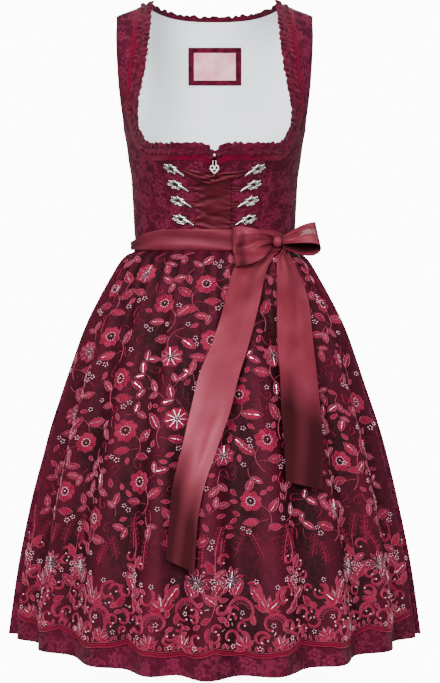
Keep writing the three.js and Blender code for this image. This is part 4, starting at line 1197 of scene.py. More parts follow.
@dataclass
class NeckFrill:
    """The ruched frill round the neckline, gathered on two lines of stitches."""

    bodice: Bodice
    pitch: dict[str, float] = field(default_factory=lambda: {"front": 10.5, "back": 17})
    step: float = 1.1
    wave: float = 2.3
    outer_share: float = 0.62
    binding: tuple[float, float] = (8.2, 18.0)
    half_width: dict[str, float] = field(
        default_factory=lambda: {"notch": 4.6, "bottom": 12.2, "strap": 13.5, "back": 9}
    )
    lift: dict[str, float] = field(default_factory=lambda: {"front": 0.9, "back": 1.3})

    def front_edge(self) -> Places:
        """Places from the centre front along the neckline to the shoulder."""
        share = np.linspace(0, 1, 60)
        low = TORSO.read("row", NECK_BOTTOM.read("h", share, "share"), "h")
        bottom = mix(TORSO_FORM.front_angle(1.0, low), self.bodice.princess(low), share)
        high = np.linspace(self.bodice.corner_row, RIDGE_ROW, 160)[1:]
        return np.concatenate([bottom, self.bodice.neck(high)]), np.concatenate([low, high])

    def back_edge(self) -> Places:
        """Places along the back neckline from the wearer's left shoulder to the right one."""
        share = self.bodice.back_shares(60, 1)
        share = share[np.abs(share) < 0.999]
        row = self.bodice.back_top(share)
        return 180 + share * (180 - self.bodice.back_edge(row)), row

    def strip(self, name: str, edge: Places, lift: float, width: Callable, pitch: float) -> Bpy:
        """Builds one length of frill.

        Args:
            name: the piece's name.
            edge: places of the edge that it is sewn to.
            lift: of its stitched middle above the cloth.
            width: half width on a side, -1 towards the neck or 1, at shares of the length.
            pitch: of its ruffles.

        Returns:
            The ruched strip.
        """
        angle, row = edge
        line = TORSO_FORM.point(angle, row)
        reach = np.concatenate([[0], np.cumsum(np.linalg.norm(np.diff(line, axis=0), axis=1))])
        count = int(reach[-1] / self.step)
        even = np.linspace(0, reach[-1], count)
        angle, row = np.interp(even, reach, angle), np.interp(even, reach, row)
        line, normal = TORSO_FORM.point(angle, row), TORSO_FORM.normal(angle, row)
        forward = unit(np.gradient(line, axis=0))
        outward = unit(np.cross(forward, normal))
        share = even / reach[-1]
        side = np.linspace(-1, 1, 19)[:, None]
        half = np.where(side < 0, width(-1, share), width(1, share))
        drawn = np.abs(side)
        turn = 2 * math.pi * even / pitch + 1.6 * np.sin(even / 17.0) + 0.9 * np.sin(even / 7.1 + 1)
        turn = turn + np.where(side > 0, 1.3, 0)
        size = 1 + 0.45 * np.sin(even / 11.7 + 2 * side) + 0.25 * np.sin(even / 4.9)
        opened = smooth(0.05, 0.5, drawn)
        ruffle = self.wave * opened * (0.6 + 0.5 * np.sin(turn + 1.6 * side)) * size
        crimp = 0.3 * opened * np.sin(1.5 * turn + 4 * side)
        roll = -1.3 * drawn**6
        bumps = 1.15 * drawn**3 * (np.sin(turn + 1.6 * side + 0.7) + 0.6 * np.sin(0.37 * turn + side)) * size
        lifted = np.maximum(lift + 0.15 + ruffle + crimp + roll, lift)
        off = np.sign(side) * (drawn * half + bumps)
        points = line + outward * off[..., None] + normal * lifted[..., None]
        return ribbon(name, points, 0.6, Finish.RUCHE)

    def bound(self, name: str, edge: Places) -> Bpy:
        """The flat crimson binding that shows beside the frill."""
        angle, row = edge
        line = TORSO_FORM.point(angle, row)
        normal = TORSO_FORM.normal(angle, row)
        outward = unit(np.cross(unit(np.gradient(line, axis=0)), normal))
        off = mix(*self.binding, np.linspace(1, 0, 7)[:, None])
        crown = 0.35 + 0.5 * (1 - np.linspace(-1, 1, 7)[:, None] ** 4)
        points = line + outward * off[..., None] + normal * (crown + 0 * off)[..., None]
        return ribbon(name, points, 0.5, Finish.PIPING)

    def front_width(self, _side: int, share: Array) -> Array:
        """Half width of the front frill, with its notch at the centre."""
        low = mix(self.half_width["notch"], self.half_width["bottom"], smooth(0, 0.05, share))
        return mix(low, self.half_width["strap"], smooth(0.3, 0.7, share))

    def front_side_width(self, side: int, share: Array) -> Array:
        """Half width of the front frill on a side, narrower beside the binding."""
        return self.front_width(side, share) * (self.outer_share if side > 0 else 1)

    def build(self) -> None:
        """Builds the three lengths of frill, and the crimson binding beside the front ones."""
        angle, row = self.front_edge()
        edges = {"left": (angle, row), "right": (-angle[::-1], row[::-1])}

        def from_the_right(side: int, share: Array) -> Array:
            """Half width of a frill that starts at the shoulder."""
            return self.front_side_width(side, 1 - share)

        for side, width in (("left", self.front_side_width), ("right", from_the_right)):
            name = f"frill_front_{side}"
            strip = self.strip(f"{name}_ruche", edges[side], self.lift["front"], width, self.pitch["front"])
            sewn(strip, "frill", "gathered", [name])
        for side, places in edges.items():
            binding = self.bound(f"neck_binding_{side}", places)
            sewn(binding, "frill", "laid", (), [f"front_side_{side}_brocade"])

        def even_width(_side: int, share: Array) -> Array:
            """Half width of the back frill, the same all along."""
            return self.half_width["back"] + 0 * share

        strip = self.strip(
            "frill_back_ruche", self.back_edge(), self.lift["back"], even_width, self.pitch["back"]
        )
        sewn(strip, "frill", "gathered", ["frill_back"])


# ---- skirt and apron


def apron_edge(angle: Array) -> Array:
    """How far the apron's edge lies below the waist seam: large scallops, each with three small ones."""
    place = angle / APRON_HALF_ANGLE * (SCALLOPS / 2)
    large = np.abs(np.sin(math.pi * place))
    little = np.abs(np.sin(3 * math.pi * place))
    return APRON_EDGE_DROP - SCALLOP_DEPTH * (1 - large) - 2.5 * (1 - little)


@dataclass
class FullSkirt:
    """The brocade skirt in three panels."""

    rows: int = 78
    columns_per_degree: float = 1.25
    panels: dict[str, tuple[float, float]] = field(
        default_factory=lambda: {
            "skirt_front": (-90, 90),
            "skirt_back_left": (90, 180),
            "skirt_back_right": (180, 270),
        }
    )

    def places(self, start: float, end: float) -> Places:
        """Places of a panel, closer together near the waist."""
        count = int((end - start) * self.columns_per_degree)
        angle = np.linspace(start, end, count)[None, :]
        drop = SKIRT.last("drop") * np.linspace(0, 1, self.rows) ** 1.35
        row = SKIRT.read("row", drop[::-1], "drop")[:, None]
        return np.broadcast_arrays(angle, row)

    def build(self) -> None:
        """Builds the three panels."""
        for name, (start, end) in self.panels.items():
            places = self.places(start, end)
            panel = cloth_on(SKIRT_FORM, f"{name}_brocade", places, CLOTH, Finish.BROCADE, rolled=(1.0, 2.4))
            sewn(panel, "brocade", "gathered", [name])


@dataclass
class ApronCloth:
    """The gathered organza apron, cut in scallops below."""

    columns: int = 262
    rows: int = 98

    def build(self) -> None:
        """Builds the cloth."""
        angle = np.linspace(-APRON_HALF_ANGLE, APRON_HALF_ANGLE, self.columns)
        edge = apron_edge(angle)
        share = np.linspace(0, 1, self.rows)[:, None] ** 1.25
        drop = mix(APRON_TOP_DROP, edge, share)[::-1]
        row = SKIRT.read("row", drop, "drop")
        angle, row = np.broadcast_arrays(angle[None, :], row)
        fold = SKIRT_FORM.folds(angle, row) / np.maximum(SKIRT.read("fold", row), 2)
        # The tone is lighter at the sides, where the brocade shows through, and lighter on the fold crests,
        # a painted highlight with painted shade in the creases.
        tone = 0.35 * smooth(50, 69, np.abs(angle)) + 0.65 * smooth(-0.4, 1.2, fold) * smooth(60, 260, drop)
        # Painted light below the band: lighter there, and lightest on the gather crests.
        near_band = 1 - smooth(20, 150, drop)
        tone = np.clip(tone + near_band * (0.3 + 0.4 * np.cos(GATHERS * np.radians(angle))), 0, 1)
        cloth = cloth_on(APRON_FORM, "apron_organza", (angle, row), 0.8, Finish.ORGANZA, tone=tone)
        sewn(cloth, "apron", "gathered", ["apron"], ["apron_waistband_satin"])


# ---- embroidery

Flat = tuple[float, float]


@dataclass
class Stitchery:
    """Raised stitches and beads that lie on the apron, gathered into one mesh.

    Each stitch is laid out flat, in millimetres across and up from its own anchor on the apron, with a
    height above the cloth, and is carried to the apron's surface when the mesh is made.
    """

    name: str
    finish: Finish
    anchors: list[Array] = field(default_factory=list)
    flats: list[Array] = field(default_factory=list)
    faces: list[list[int]] = field(default_factory=list)
    tones: list[Array] = field(default_factory=list)
    count: int = 0

    def add(self, anchor: tuple[float, float, float], points: Array, faces: list, tone: float) -> None:
        """Adds a small mesh.

        Args:
            anchor: angle and drop on the apron, and the turn of the motif in degrees.
            points: across, up and height of each vertex.
            faces: lists of its vertex numbers.
            tone: the silk's tone, from 0 to 1.
        """
        points = np.asarray(points, float)
        turn = math.radians(anchor[2])
        across = points[:, 0] * math.cos(turn) - points[:, 1] * math.sin(turn)
        up = points[:, 0] * math.sin(turn) + points[:, 1] * math.cos(turn)
        self.flats.append(np.stack([across, up, points[:, 2]], axis=-1))
        self.anchors.append(np.tile(np.array(anchor[:2], float), (len(points), 1)))
        self.faces += [[k + self.count for k in face] for face in faces]
        self.tones.append(np.full(len(points), tone))
        self.count += len(points)

    def pad(self, anchor: tuple, outline: Array, height: float, tone: float) -> None:
        """Adds a padded satin-stitch shape with a low crown."""
        outline = np.asarray(outline, float)
        n = len(outline)
        centre = outline.mean(axis=0)
        inner = mix(outline, centre, 0.42)
        points = np.concatenate(
            [
                np.column_stack([outline, np.full(n, -0.25)]),
                np.column_stack([inner, np.full(n, height)]),
                [[*centre, height * 1.1]],
            ]
        )
        faces = [[k, (k + 1) % n, n + (k + 1) % n, n + k] for k in range(n)]
        faces += [[n + k, n + (k + 1) % n, 2 * n] for k in range(n)]
        faces.append(list(range(n))[::-1])
        self.add(anchor, points, faces, tone)

    def cord(self, anchor: tuple, line: Array, width: Array | float, height: float, tone: float) -> None:
        """Adds a raised cord along an open line, with one width or a width for each point."""
        line = np.asarray(line, float)
        n = len(line)
        forward = np.gradient(line, axis=0)
        side = unit(np.stack([-forward[:, 1], forward[:, 0]], axis=-1)) * np.reshape(width, (-1, 1)) / 2
        points = np.concatenate(
            [
                np.column_stack([line + side, np.full(n, -0.2)]),
                np.column_stack([line, np.full(n, height)]),
                np.column_stack([line - side, np.full(n, -0.2)]),
            ]
        )
        faces = []
        for k in range(n - 1):
            for a, b in ((0, 1), (1, 2), (2, 0)):
                faces.append([a * n + k, b * n + k, b * n + k + 1, a * n + k + 1])
        faces += [[0, 2 * n, n], [n - 1, 2 * n - 1, 3 * n - 1]]
        self.add(anchor, points, faces, tone)

    def bead(self, anchor: tuple, x: float, y: float, radius: float) -> None:
        """Adds a round bead that rests on the cloth."""
        sides = 6
        points = [[x, y, -radius * 0.1]]
        for level, wide in ((0.45, 0.9), (1.15, 1.0), (1.75, 0.62)):
            for k in range(sides):
                turn = 2 * math.pi * (k + level) / sides
                c, s = math.cos(turn), math.sin(turn)
                points.append([x + radius * wide * c, y + radius * wide * s, radius * level])
        points.append([x, y, radius * 2])
        faces = [[0, 1 + (k + 1) % sides, 1 + k] for k in range(sides)]
        faces += ring_faces(sides, 3, first=1)
        top = 1 + 2 * sides
        faces += [[top + k, top + (k + 1) % sides, top + sides] for k in range(sides)]
        self.add(anchor, np.array(points), faces, 0.5)

    def bugle(self, anchor: tuple, start: Flat, end: Flat, radius: float) -> None:
        """Adds a long bead between two points."""
        a, b = np.array(start, float), np.array(end, float)
        along = unit(b - a)
        side = np.array([-along[1], along[0]])
        sides = 6
        points = []
        for centre in (a, b):
            for k in range(sides):
                turn = 2 * math.pi * k / sides
                flat = centre + side * radius * math.cos(turn)
                points.append([flat[0], flat[1], radius * (0.8 + math.sin(turn))])
        faces = [[k, sides + k, sides + (k + 1) % sides, (k + 1) % sides] for k in range(sides)]
        faces += [list(range(sides)), [sides + k for k in range(sides)][::-1]]
        self.add(anchor, np.array(points), faces, 0.5)

    def build(self) -> Bpy:
        """Carries the stitches to the apron and makes the mesh."""
        anchor, flat = np.concatenate(self.anchors), np.concatenate(self.flats)
        speed = APRON_FORM.speed(anchor[:, 0], anchor[:, 1])
        angle = anchor[:, 0] + flat[:, 0] / speed
        slant = self.slant(anchor[:, 0], anchor[:, 1])
        drop = anchor[:, 1] - flat[:, 1] * slant
        row = SKIRT.read("row", np.clip(drop, 0, LOWEST_STITCH), "drop")
        points = APRON_FORM.lifted(angle, row, flat[:, 2])
        made = mesh_object(self.name, points, self.faces, [self.finish])
        set_uv(made, flat[:, :2])
        set_tone(made, np.concatenate(self.tones))
        return smooth_shaded(outward_faces(made), 50)

    @staticmethod
    def slant(angle: Array, drop: Array) -> Array:
        """Drop for a millimetre down the flare, which slopes outwards."""
        row, lower = (SKIRT.read("row", drop + d, "drop") for d in (0, 5))
        reach = APRON_FORM.ring(angle, lower, 0) - APRON_FORM.ring(angle, row, 0)
        return 5 / np.linalg.norm(reach, axis=-1)


@dataclass
class Embroidery:
    """The apron's embroidery: flowering stems above, and a deep border of scrolls and fans below."""

    seed: int = 7
    dice: random.Random = field(init=False)
    silk: Stitchery = field(default_factory=lambda: Stitchery("embroidery_flowers", Finish.THREAD))
    outline: Stitchery = field(default_factory=lambda: Stitchery("embroidery_outlines", Finish.THREAD))
    scrolls: Stitchery = field(default_factory=lambda: Stitchery("embroidery_scrolls", Finish.THREAD))
    pearls: Stitchery = field(default_factory=lambda: Stitchery("apron_pearls", Finish.PEARL))
    bugles: Stitchery = field(default_factory=lambda: Stitchery("apron_bugle_beads", Finish.BUGLE))
    jet: Stitchery = field(default_factory=lambda: Stitchery("apron_dark_beads", Finish.JET))

    def __post_init__(self) -> None:
        """Starts the dice, the same in each run."""
        self.dice = random.Random(self.seed)

    @staticmethod
    def ring_points(count: int, radius: float, start: float = 0) -> Array:
        """Points on a circle, in order."""
        turn = start + 2 * math.pi * np.arange(count) / count
        return np.stack([radius * np.cos(turn), radius * np.sin(turn)], axis=-1)

    @staticmethod
    def leaf_outline(
        length: float, width: float, count: int, point: float, notch: float = 0, blunt: float = 0.8
    ) -> Array:
        """A leaf or petal that grows along +y from the origin, with a toothed edge if it has a notch."""
        share = np.linspace(0, 1, count)
        half = width / 2 * np.abs(np.sin(math.pi * share**point)) ** blunt
        half = half * (1 + notch * np.where(np.arange(count) % 2, 1, -1))
        right = np.column_stack([half, length * share])
        left = np.column_stack([-half[-2:0:-1], length * share[-2:0:-1]])
        return np.concatenate([right, left])

    @staticmethod
    def turned(points: Array, degrees: float, x: float = 0, y: float = 0) -> Array:
        """Points turned anticlockwise and moved."""
        c, s = math.cos(math.radians(degrees)), math.sin(math.radians(degrees))
        points = np.asarray(points, float)
        across = points[:, 0] * c - points[:, 1] * s + x
        return np.column_stack([across, points[:, 0] * s + points[:, 1] * c + y])

    def rimmed(self, anchor: tuple, shape: Array, tone: float, rim: float = 0.92) -> None:
        """A padded shape with a paler cord round it."""
        self.silk.pad(anchor, shape, 0.7, tone)
        loop = np.concatenate([shape, shape[:1]])
        self.outline.cord(anchor, loop, 1.05, 0.75, rim)

    def daisy(self, anchor: tuple, radius: float, petals: int = 8, centre: str = "ring") -> None:
        """A large flower with a beaded centre."""
        for k in range(petals):
            length = radius * self.dice.uniform(0.62, 0.7)
            petal = self.leaf_outline(length, radius * 0.58, 7, 0.9, 0, 0.5)
            place = self.turned(petal + [0, radius * 0.32], 360 * k / petals + self.dice.uniform(-5, 5))
            self.rimmed(anchor, place, self.dice.uniform(0.38, 0.66), 0.8)
            slit = self.turned(np.array([(0, radius * 0.42), (0, radius * 0.72)]), 360 * k / petals)
            self.outline.cord(anchor, slit, 0.9, 1.0, 0.05)
        self.outline.cord(anchor, self.ring_points(13, radius * 0.36)[np.arange(14) % 13], 1.1, 0.9, 0.95)
        if centre == "ring":
            for x, y in self.ring_points(11, radius * 0.38, 0.2):
                self.pearls.bead(anchor, x, y, 1.2)
            self.jet.bead(anchor, 0, -1.2, 2.0)
            self.pearls.bead(anchor, 0.3, 0.7, 1.5)
        else:
            for x, y in self.ring_points(9, 1.0, 0.3):
                self.bugles.bugle(anchor, (x * 3.2, y * 3.2), (x * radius * 0.8, y * radius * 0.8), 0.85)
            self.pearls.bead(anchor, 0, 0, 1.9)

    def floret(self, anchor: tuple, x: float, y: float, size: float = 1.0) -> None:
        """A small flower of five pearls round a dark bead."""
        for px, py in self.ring_points(5, 3.3 * size, self.dice.uniform(0, 1)):
            self.pearls.bead(anchor, x + px, y + py, 1.3 * size)
        self.jet.bead(anchor, x, y, 1.1 * size)

    def sunburst(self, anchor: tuple, radius: float, rays: int = 14) -> None:
        """A burst of long beads round a pearl."""
        for k in range(rays):
            turn = 2 * math.pi * k / rays
            reach = radius * (1 if k % 2 else 0.8)
            c, s = math.cos(turn), math.sin(turn)
            self.bugles.bugle(anchor, (c * 3.4, s * 3.4), (c * reach, s * reach), 0.62)
            if k % 2 == 0:
                self.pearls.bead(anchor, c * radius * 1.12, s * radius * 1.12, 1.0)
        self.pearls.bead(anchor, 0, 0, 2.0)
        self.jet.bead(anchor, 0, -2.4, 1.3)

    def stem(self, anchor: tuple, line: Array, width: float = 1.5, tone: float = 0.8) -> None:
        """A corded stem."""
        self.outline.cord(anchor, line, np.linspace(width, width * 0.6, len(line)), 0.8, tone)

    def curve(self, *points: Flat, count: int = 12) -> Array:
        """A smooth line through a few control points."""
        points = np.array(points, float)
        t = np.linspace(0, 1, count)[:, None]
        if len(points) == 3:
            return (1 - t) ** 2 * points[0] + 2 * t * (1 - t) * points[1] + t * t * points[2]
        a, b, c, d = points
        return (1 - t) ** 3 * a + 3 * t * (1 - t) ** 2 * b + 3 * t * t * (1 - t) * c + t**3 * d

    def leaf(
        self, anchor: tuple, x: float, y: float, turn: float, length: float, beaded: bool = True
    ) -> None:
        """A toothed leaf with a beaded midrib."""
        shape = self.leaf_outline(length, length * 0.5, 11, 0.85, 0.12)
        self.rimmed(anchor, self.turned(shape, turn, x, y), self.dice.uniform(0.38, 0.6))
        for share in (0.3, 0.52, 0.72):
            for side in (-1, 1):
                vein = np.array([(0, length * share - 2), (side * length * 0.17, length * share + 1.5)])
                self.outline.cord(anchor, self.turned(vein, turn, x, y), 0.8, 1.15, 0.9)
        if not beaded:
            return
        pieces = max(2, int(length / 9))
        for k in range(pieces):
            low, high = (length * (0.12 + 0.7 * part / pieces) for part in (k, k + 0.8))
            start, end = self.turned(np.array([(0, low), (0, high)]), turn, x, y)
            self.bugles.bugle(anchor, tuple(start), tuple(end), 0.8)

    def sprig(self, anchor: tuple, height: float, lean: float) -> None:
        """A thin stem with pairs of small looped leaves."""
        line = self.curve((0, 0), (lean * 0.2, height * 0.5), (lean, height))
        self.stem(anchor, line, 1.1, 0.75)
        for k in range(2, 12, 2):
            x, y = line[k]
            for side in (-1, 1):
                loop = self.leaf_outline(7.5, 4.6, 5, 0.8)
                loop = self.turned(loop, side * 62, x, y)
                loop = np.concatenate([loop, loop[:1]])
                self.outline.cord(anchor, loop, 0.95, 0.6, 0.72)

    def works(self) -> list[Stitchery]:
        """All the meshes of the embroidery."""
        return [self.silk, self.outline, self.scrolls, self.pearls, self.bugles, self.jet]

    def occupied(self) -> Array:
        """Angle and drop of some of the points that are already stitched."""
        found = []
        for work in self.works():
            if work.count:
                anchor, flat = np.concatenate(work.anchors)[::5], np.concatenate(work.flats)[::5]
                speed = APRON_FORM.speed(anchor[:, 0], anchor[:, 1])
                found.append(np.column_stack([anchor[:, 0] + flat[:, 0] / speed, anchor[:, 1] - flat[:, 1]]))
        return np.concatenate(found)

    def fill(self, tries: int, clear: float, within: Callable, stitch: Callable) -> int:
        """Stitches small motifs wherever the cloth is still bare.

        Args:
            tries: how many places are tried.
            clear: how far a motif's middle keeps from all other stitches.
            within: whether a place's angle and drop belong to the part to be filled.
            stitch: makes the motif at an anchor.

        Returns:
            How many were stitched.
        """
        taken, made = self.occupied(), 0
        for _ in range(tries):
            angle, drop = self.dice.uniform(-67, 67), self.dice.uniform(16, 630)
            if not within(angle, drop):
                continue
            speed = float(APRON_FORM.speed(np.array(angle), np.array(drop)))
            away = np.hypot((taken[:, 0] - angle) * speed, taken[:, 1] - drop)
            if away.min() < clear:
                continue
            stitch((angle, drop, self.dice.uniform(-180, 180)))
            turn = np.linspace(0, 2 * math.pi, 9)[:-1]
            across, down = clear * 0.6 * np.cos(turn) / speed, clear * 0.6 * np.sin(turn)
            ring = np.column_stack([angle + across, drop + down])
            taken = np.concatenate([taken, ring])
            made += 1
        return made

    def leaf_pair(self, anchor: tuple) -> None:
        """Two broad leaves on a short stem."""
        self.stem(anchor, self.curve((0, -20), (4, -8), (0, 2)), 1.3)
        self.leaf(anchor, 0, -2, self.dice.uniform(-50, -25), self.dice.uniform(19, 24))
        self.leaf(anchor, 0, -6, self.dice.uniform(35, 70), self.dice.uniform(16, 20))

    def trio(self, anchor: tuple) -> None:
        """Three pearl flowers close together."""
        self.floret(anchor, 0, 4.4, 0.95)
        self.floret(anchor, -5.2, -4.2, 0.85)
        self.floret(anchor, 5.6, -3.4, 0.9)

    def tendril(self, anchor: tuple) -> None:
        """A thin stem that curls round at its end."""
        t = np.linspace(0, 1, 16)
        turn, radius = 5.2 * t, 7.5 * (1 - 0.7 * t)
        line = np.column_stack([radius * np.cos(turn) - 7.5, radius * np.sin(turn)])
        self.stem(anchor, np.concatenate([[(1.0, -11), (0.6, -5)], line]), 1.1, 0.7)

    def tree(self, anchor: tuple, hand: int) -> None:
        """Foliage that climbs from the border where two scallops meet."""
        trunk = self.curve((-hand * 6, 62), (hand * 12, 96), (-hand * 4, 128), (hand * 4, 176))
        self.stem(anchor, trunk, 1.8)
        self.leaf(anchor, -hand * 2, 96, hand * -38, 34)
        self.leaf(anchor, hand * 4, 84, hand * 52, 28)
        self.leaf(anchor, 0, 124, hand * -58, 22)
        self.leaf(anchor, 0, 132, hand * 34, 24, False)
        self.scroll(anchor, hand * 14, 150, 11, 20, hand, False)
        self.scroll(anchor, hand * -15, 138, 9, 150, -hand, False)
        self.trio((anchor[0], anchor[1] - 116, hand * 40))
        self.floret(anchor, hand * 22, 118, 0.9)
        self.floret(anchor, hand * -20, 108, 0.9)
        self.sprig((anchor[0], anchor[1] - 158, hand * -6), 44, hand * 8)

    def large_scroll(self, anchor: tuple) -> None:
        """A C-scroll with ladder bars."""
        size = self.dice.uniform(13, 17)
        self.scroll(anchor, 0, 0, size, self.dice.uniform(0, 360), self.dice.choice((-1, 1)), True)

    def small_scroll(self, anchor: tuple) -> None:
        """A little C-scroll."""
        size = self.dice.uniform(7.5, 10.5)
        self.scroll(anchor, 0, 0, size, self.dice.uniform(0, 360), self.dice.choice((-1, 1)), False)

    def small_leaf(self, anchor: tuple) -> None:
        """A little bare leaf."""
        shape = self.leaf_outline(self.dice.uniform(11, 15), 6.4, 6, 0.75)
        self.rimmed(anchor, shape - [0, 6], self.dice.uniform(0.4, 0.62))

    def dash(self, anchor: tuple) -> None:
        """A single long bead."""
        self.bugles.bugle(anchor, (-3.0, 0), (3.0, 0), 0.85)

    def spray(self, anchor: tuple, kind: int) -> None:
        """A curved stem with a large flower, leaves and pearl florets."""
        flip = -1 if kind % 2 else 1
        stem = self.curve((0, -52), (flip * 26, -34), (flip * 17, -14), (0, 0), count=14)
        self.stem(anchor, stem)
        side = self.curve((flip * 10, -36), (flip * -8, -30), (flip * -24, -40))
        self.stem(anchor, side, 1.3)
        self.leaf(anchor, flip * 17, -26, flip * -64, self.dice.uniform(26, 33))
        self.leaf(anchor, flip * -4, -32, flip * 78, self.dice.uniform(22, 29), kind % 3 != 0)
        if kind % 3 == 0:
            self.leaf(anchor, flip * 4, -46, flip * -118, 22, False)
        self.floret(anchor, flip * -25, -42)
        self.floret(anchor, flip * -31, -34, 0.85)
        self.floret(anchor, flip * 31, -46, 0.9)
        self.daisy(anchor, self.dice.uniform(17, 20), 8 + kind % 2, "rays" if kind % 3 == 1 else "ring")

    def scroll(
        self, anchor: tuple, x: float, y: float, size: float, turn: float, hand: int, bars: bool
    ) -> None:
        """A C-scroll: a broad band that curls in at its end, with ladder bars inside its outer bend."""
        t = np.linspace(0, 1, 21)
        angle = math.radians(turn) + hand * t * 4.6
        radius = size * (1 - 0.68 * t)
        line = np.column_stack([x + radius * np.cos(angle), y + radius * np.sin(angle)])
        width = mix(3.2, 4.8, min(1, size / 20)) * (1 - 0.5 * t) * smooth(-0.1, 0.12, t)
        self.scrolls.cord(anchor, line, width, 1.1, 0.56)
        forward = np.gradient(line, axis=0)
        side = unit(np.stack([-forward[:, 1], forward[:, 0]], axis=-1))
        for edge in (-0.5, 0.5):
            self.outline.cord(anchor, line + side * (width * edge)[:, None], 0.95, 0.85, 0.82)
        self.pearls.bead(anchor, line[-1, 0], line[-1, 1], 1.6)
        if bars:
            inner = line[:10] * 0.62 + np.array([x, y]) * 0.38
            self.outline.cord(anchor, inner, 1.2, 0.8, 0.7)
            for k in range(10):
                rung = np.array([mix(line[k], inner[k], 0.3), inner[k]])
                self.outline.cord(anchor, rung, 0.9, 0.6, 0.86)

    def fan(self, anchor: tuple, x: float, y: float, turn: float, size: float, petals: int = 7) -> None:
        """A palmette of petals that open from one foot, with long beads between them."""
        for k in range(petals):
            spread = (k / (petals - 1) - 0.5) * 150
            length = size * (1 - 0.22 * abs(k / (petals - 1) - 0.5) * 2)
            petal = self.leaf_outline(length, size * 0.3, 6, 0.6)
            self.rimmed(anchor, self.turned(petal, turn + spread, x, y), self.dice.uniform(0.35, 0.6))
        for spread in (-36, 0, 36):
            ends = self.turned(np.array([(0, size * 0.3), (0, size * 0.8)]), turn + spread, x, y)
            self.bugles.bugle(anchor, tuple(ends[0]), tuple(ends[1]), 0.85)

    def border_unit(self, anchor: tuple, hand: int) -> None:
        """One scallop's width of the border, mirrored by its hand."""
        for x, y, size, turn, more, bend in (
            (-26, 62, 27, 90, 60, -1), (21, 44, 24, 90, -100, 1), (40, 86, 17, 60, 0, 1),
            (-6, 96, 15, 130, 0, -1), (-48, 26, 15, -40, 0, 1), (50, 40, 13, 200, 0, -1),
            (2, 22, 14, 20, 0, 1),
        ):
            self.scroll(anchor, hand * x, y, size, turn + hand * more, hand * bend, size > 20)
        for x, y, turn, size in ((-22, 8, 28, 24), (30, 10, -24, 22), (12, 66, -12, 27)):
            self.fan(anchor, hand * x, y, hand * turn, size)
        for x, y, turn, length in (
            (8, 78, 36, 34), (-40, 88, -32, 30), (54, 62, -40, 24), (-54, 52, 60, 17), (-8, 44, 12, 18),
            (44, 62, -70, 16), (-16, 26, 60, 15),
        ):
            self.leaf(anchor, hand * x, y, hand * turn, length, length > 24)
        for x, y in ((-26, 62), (21, 45), (-44, 12), (52, 22), (0, 8), (-2, 112), (30, 104)):
            self.floret(anchor, hand * x, y, 0.9)
        burst = (anchor[0] + hand * -38 / 5.2, anchor[1] - 112, 0)
        self.sunburst(burst, 14)
        for petal in range(10):
            shape = self.leaf_outline(11, 5.5, 5, 0.7)
            self.rimmed(burst, self.turned(shape + [0, 11], 36 * petal), 0.4)

    def edge(self) -> None:
        """The scalloped edge: a satin-stitched band with two cords and small leaves inside it."""
        angle = np.linspace(-APRON_HALF_ANGLE + 0.1, APRON_HALF_ANGLE - 0.1, 560)
        speed = float(APRON_FORM.speed(np.array(0.0), np.array(SCALLOP_FOOT)))
        drop = apron_edge(angle)
        cords = ((0.9, 2.4, 1.0, 0.5), (4.6, 3.8, 0.7, 0.34), (8.2, 1.2, 0.9, 0.8))
        for inset, width, height, tone in cords:
            for start in range(0, len(angle) - 1, 40):
                part = slice(start, min(start + 41, len(angle)))
                middle = float(angle[part].mean())
                local = float(APRON_FORM.speed(np.array(middle), np.array(SCALLOP_FOOT)))
                line = np.column_stack([(angle[part] - middle) * local, SCALLOP_FOOT - drop[part] + inset])
                flat = (middle, SCALLOP_FOOT, 0)
                self.outline.cord(flat, line, width, height, tone)
        count = int(2 * APRON_HALF_ANGLE * speed / 9)
        for k in range(count):
            at = mix(-APRON_HALF_ANGLE + 1, APRON_HALF_ANGLE - 1, (k + 0.5) / count)
            anchor = (at, float(apron_edge(np.array(at))) - 10, 0)
            shape = self.leaf_outline(8.5, 4.4, 5, 0.7)
            self.rimmed(anchor, self.turned(shape, self.dice.uniform(-30, 30)), self.dice.uniform(0.3, 0.55))

    def build(self) -> None:
        """Lays out the whole design and makes its meshes."""
        flowers = Table("angle drop turn", [
            (-61, 70, 20), (-40, 44, -25), (-24, 92, 15), (-4, 60, -10), (14, 96, 30), (47, 58, 10),
            (63, 96, -20), (-64, 176, -15), (-49, 148, 35), (-37, 214, -10), (-17, 176, 160),
            (-1, 150, 20), (9, 236, -30), (24, 176, 12), (58, 186, 24), (66, 262, -12), (-62, 282, 18),
            (-48, 322, -140), (-31, 296, 24), (-13, 274, -24), (-24, 376, 12), (-52, 404, -16),
            (3, 330, 150), (17, 306, -8), (11, 402, 26), (29, 268, -38), (46, 352, 16), (58, 330, -28),
            (38, 424, -12), (-8, 440, 20), (-38, 440, -30), (62, 430, 14),
        ])
        for row in flowers.rows():
            self.spray((row["angle"], row["drop"], row["turn"]), int(row["row"]))
        for k in range(26):
            at = mix(-68, 68, (k + 0.5) / 26) + self.dice.uniform(-1.5, 1.5)
            drop = self.dice.uniform(478, 512)
            anchor = (at, drop, self.dice.uniform(-16, 16))
            self.sprig(anchor, self.dice.uniform(34, 52), self.dice.uniform(-16, 16))
        for k in range(SCALLOPS):
            at = mix(-APRON_HALF_ANGLE, APRON_HALF_ANGLE, (k + 0.5) / SCALLOPS)
            self.border_unit((at, 636.0, 0), 1 if k % 2 else -1)
        for k in range(SCALLOPS + 1):
            at = mix(-APRON_HALF_ANGLE + 3, APRON_HALF_ANGLE - 3, k / SCALLOPS)
            self.tree((at, SCALLOP_FOOT, 0), 1 if k % 2 else -1)
        self.edge()

        def upper(_angle: float, drop: float) -> bool:
            """Whether a place lies above the border."""
            return drop < 470

        def border(angle: float, drop: float) -> bool:
            """Whether a place lies inside the border."""
            return 500 + 62 * abs(math.sin(math.pi * angle / 24)) < drop < 628

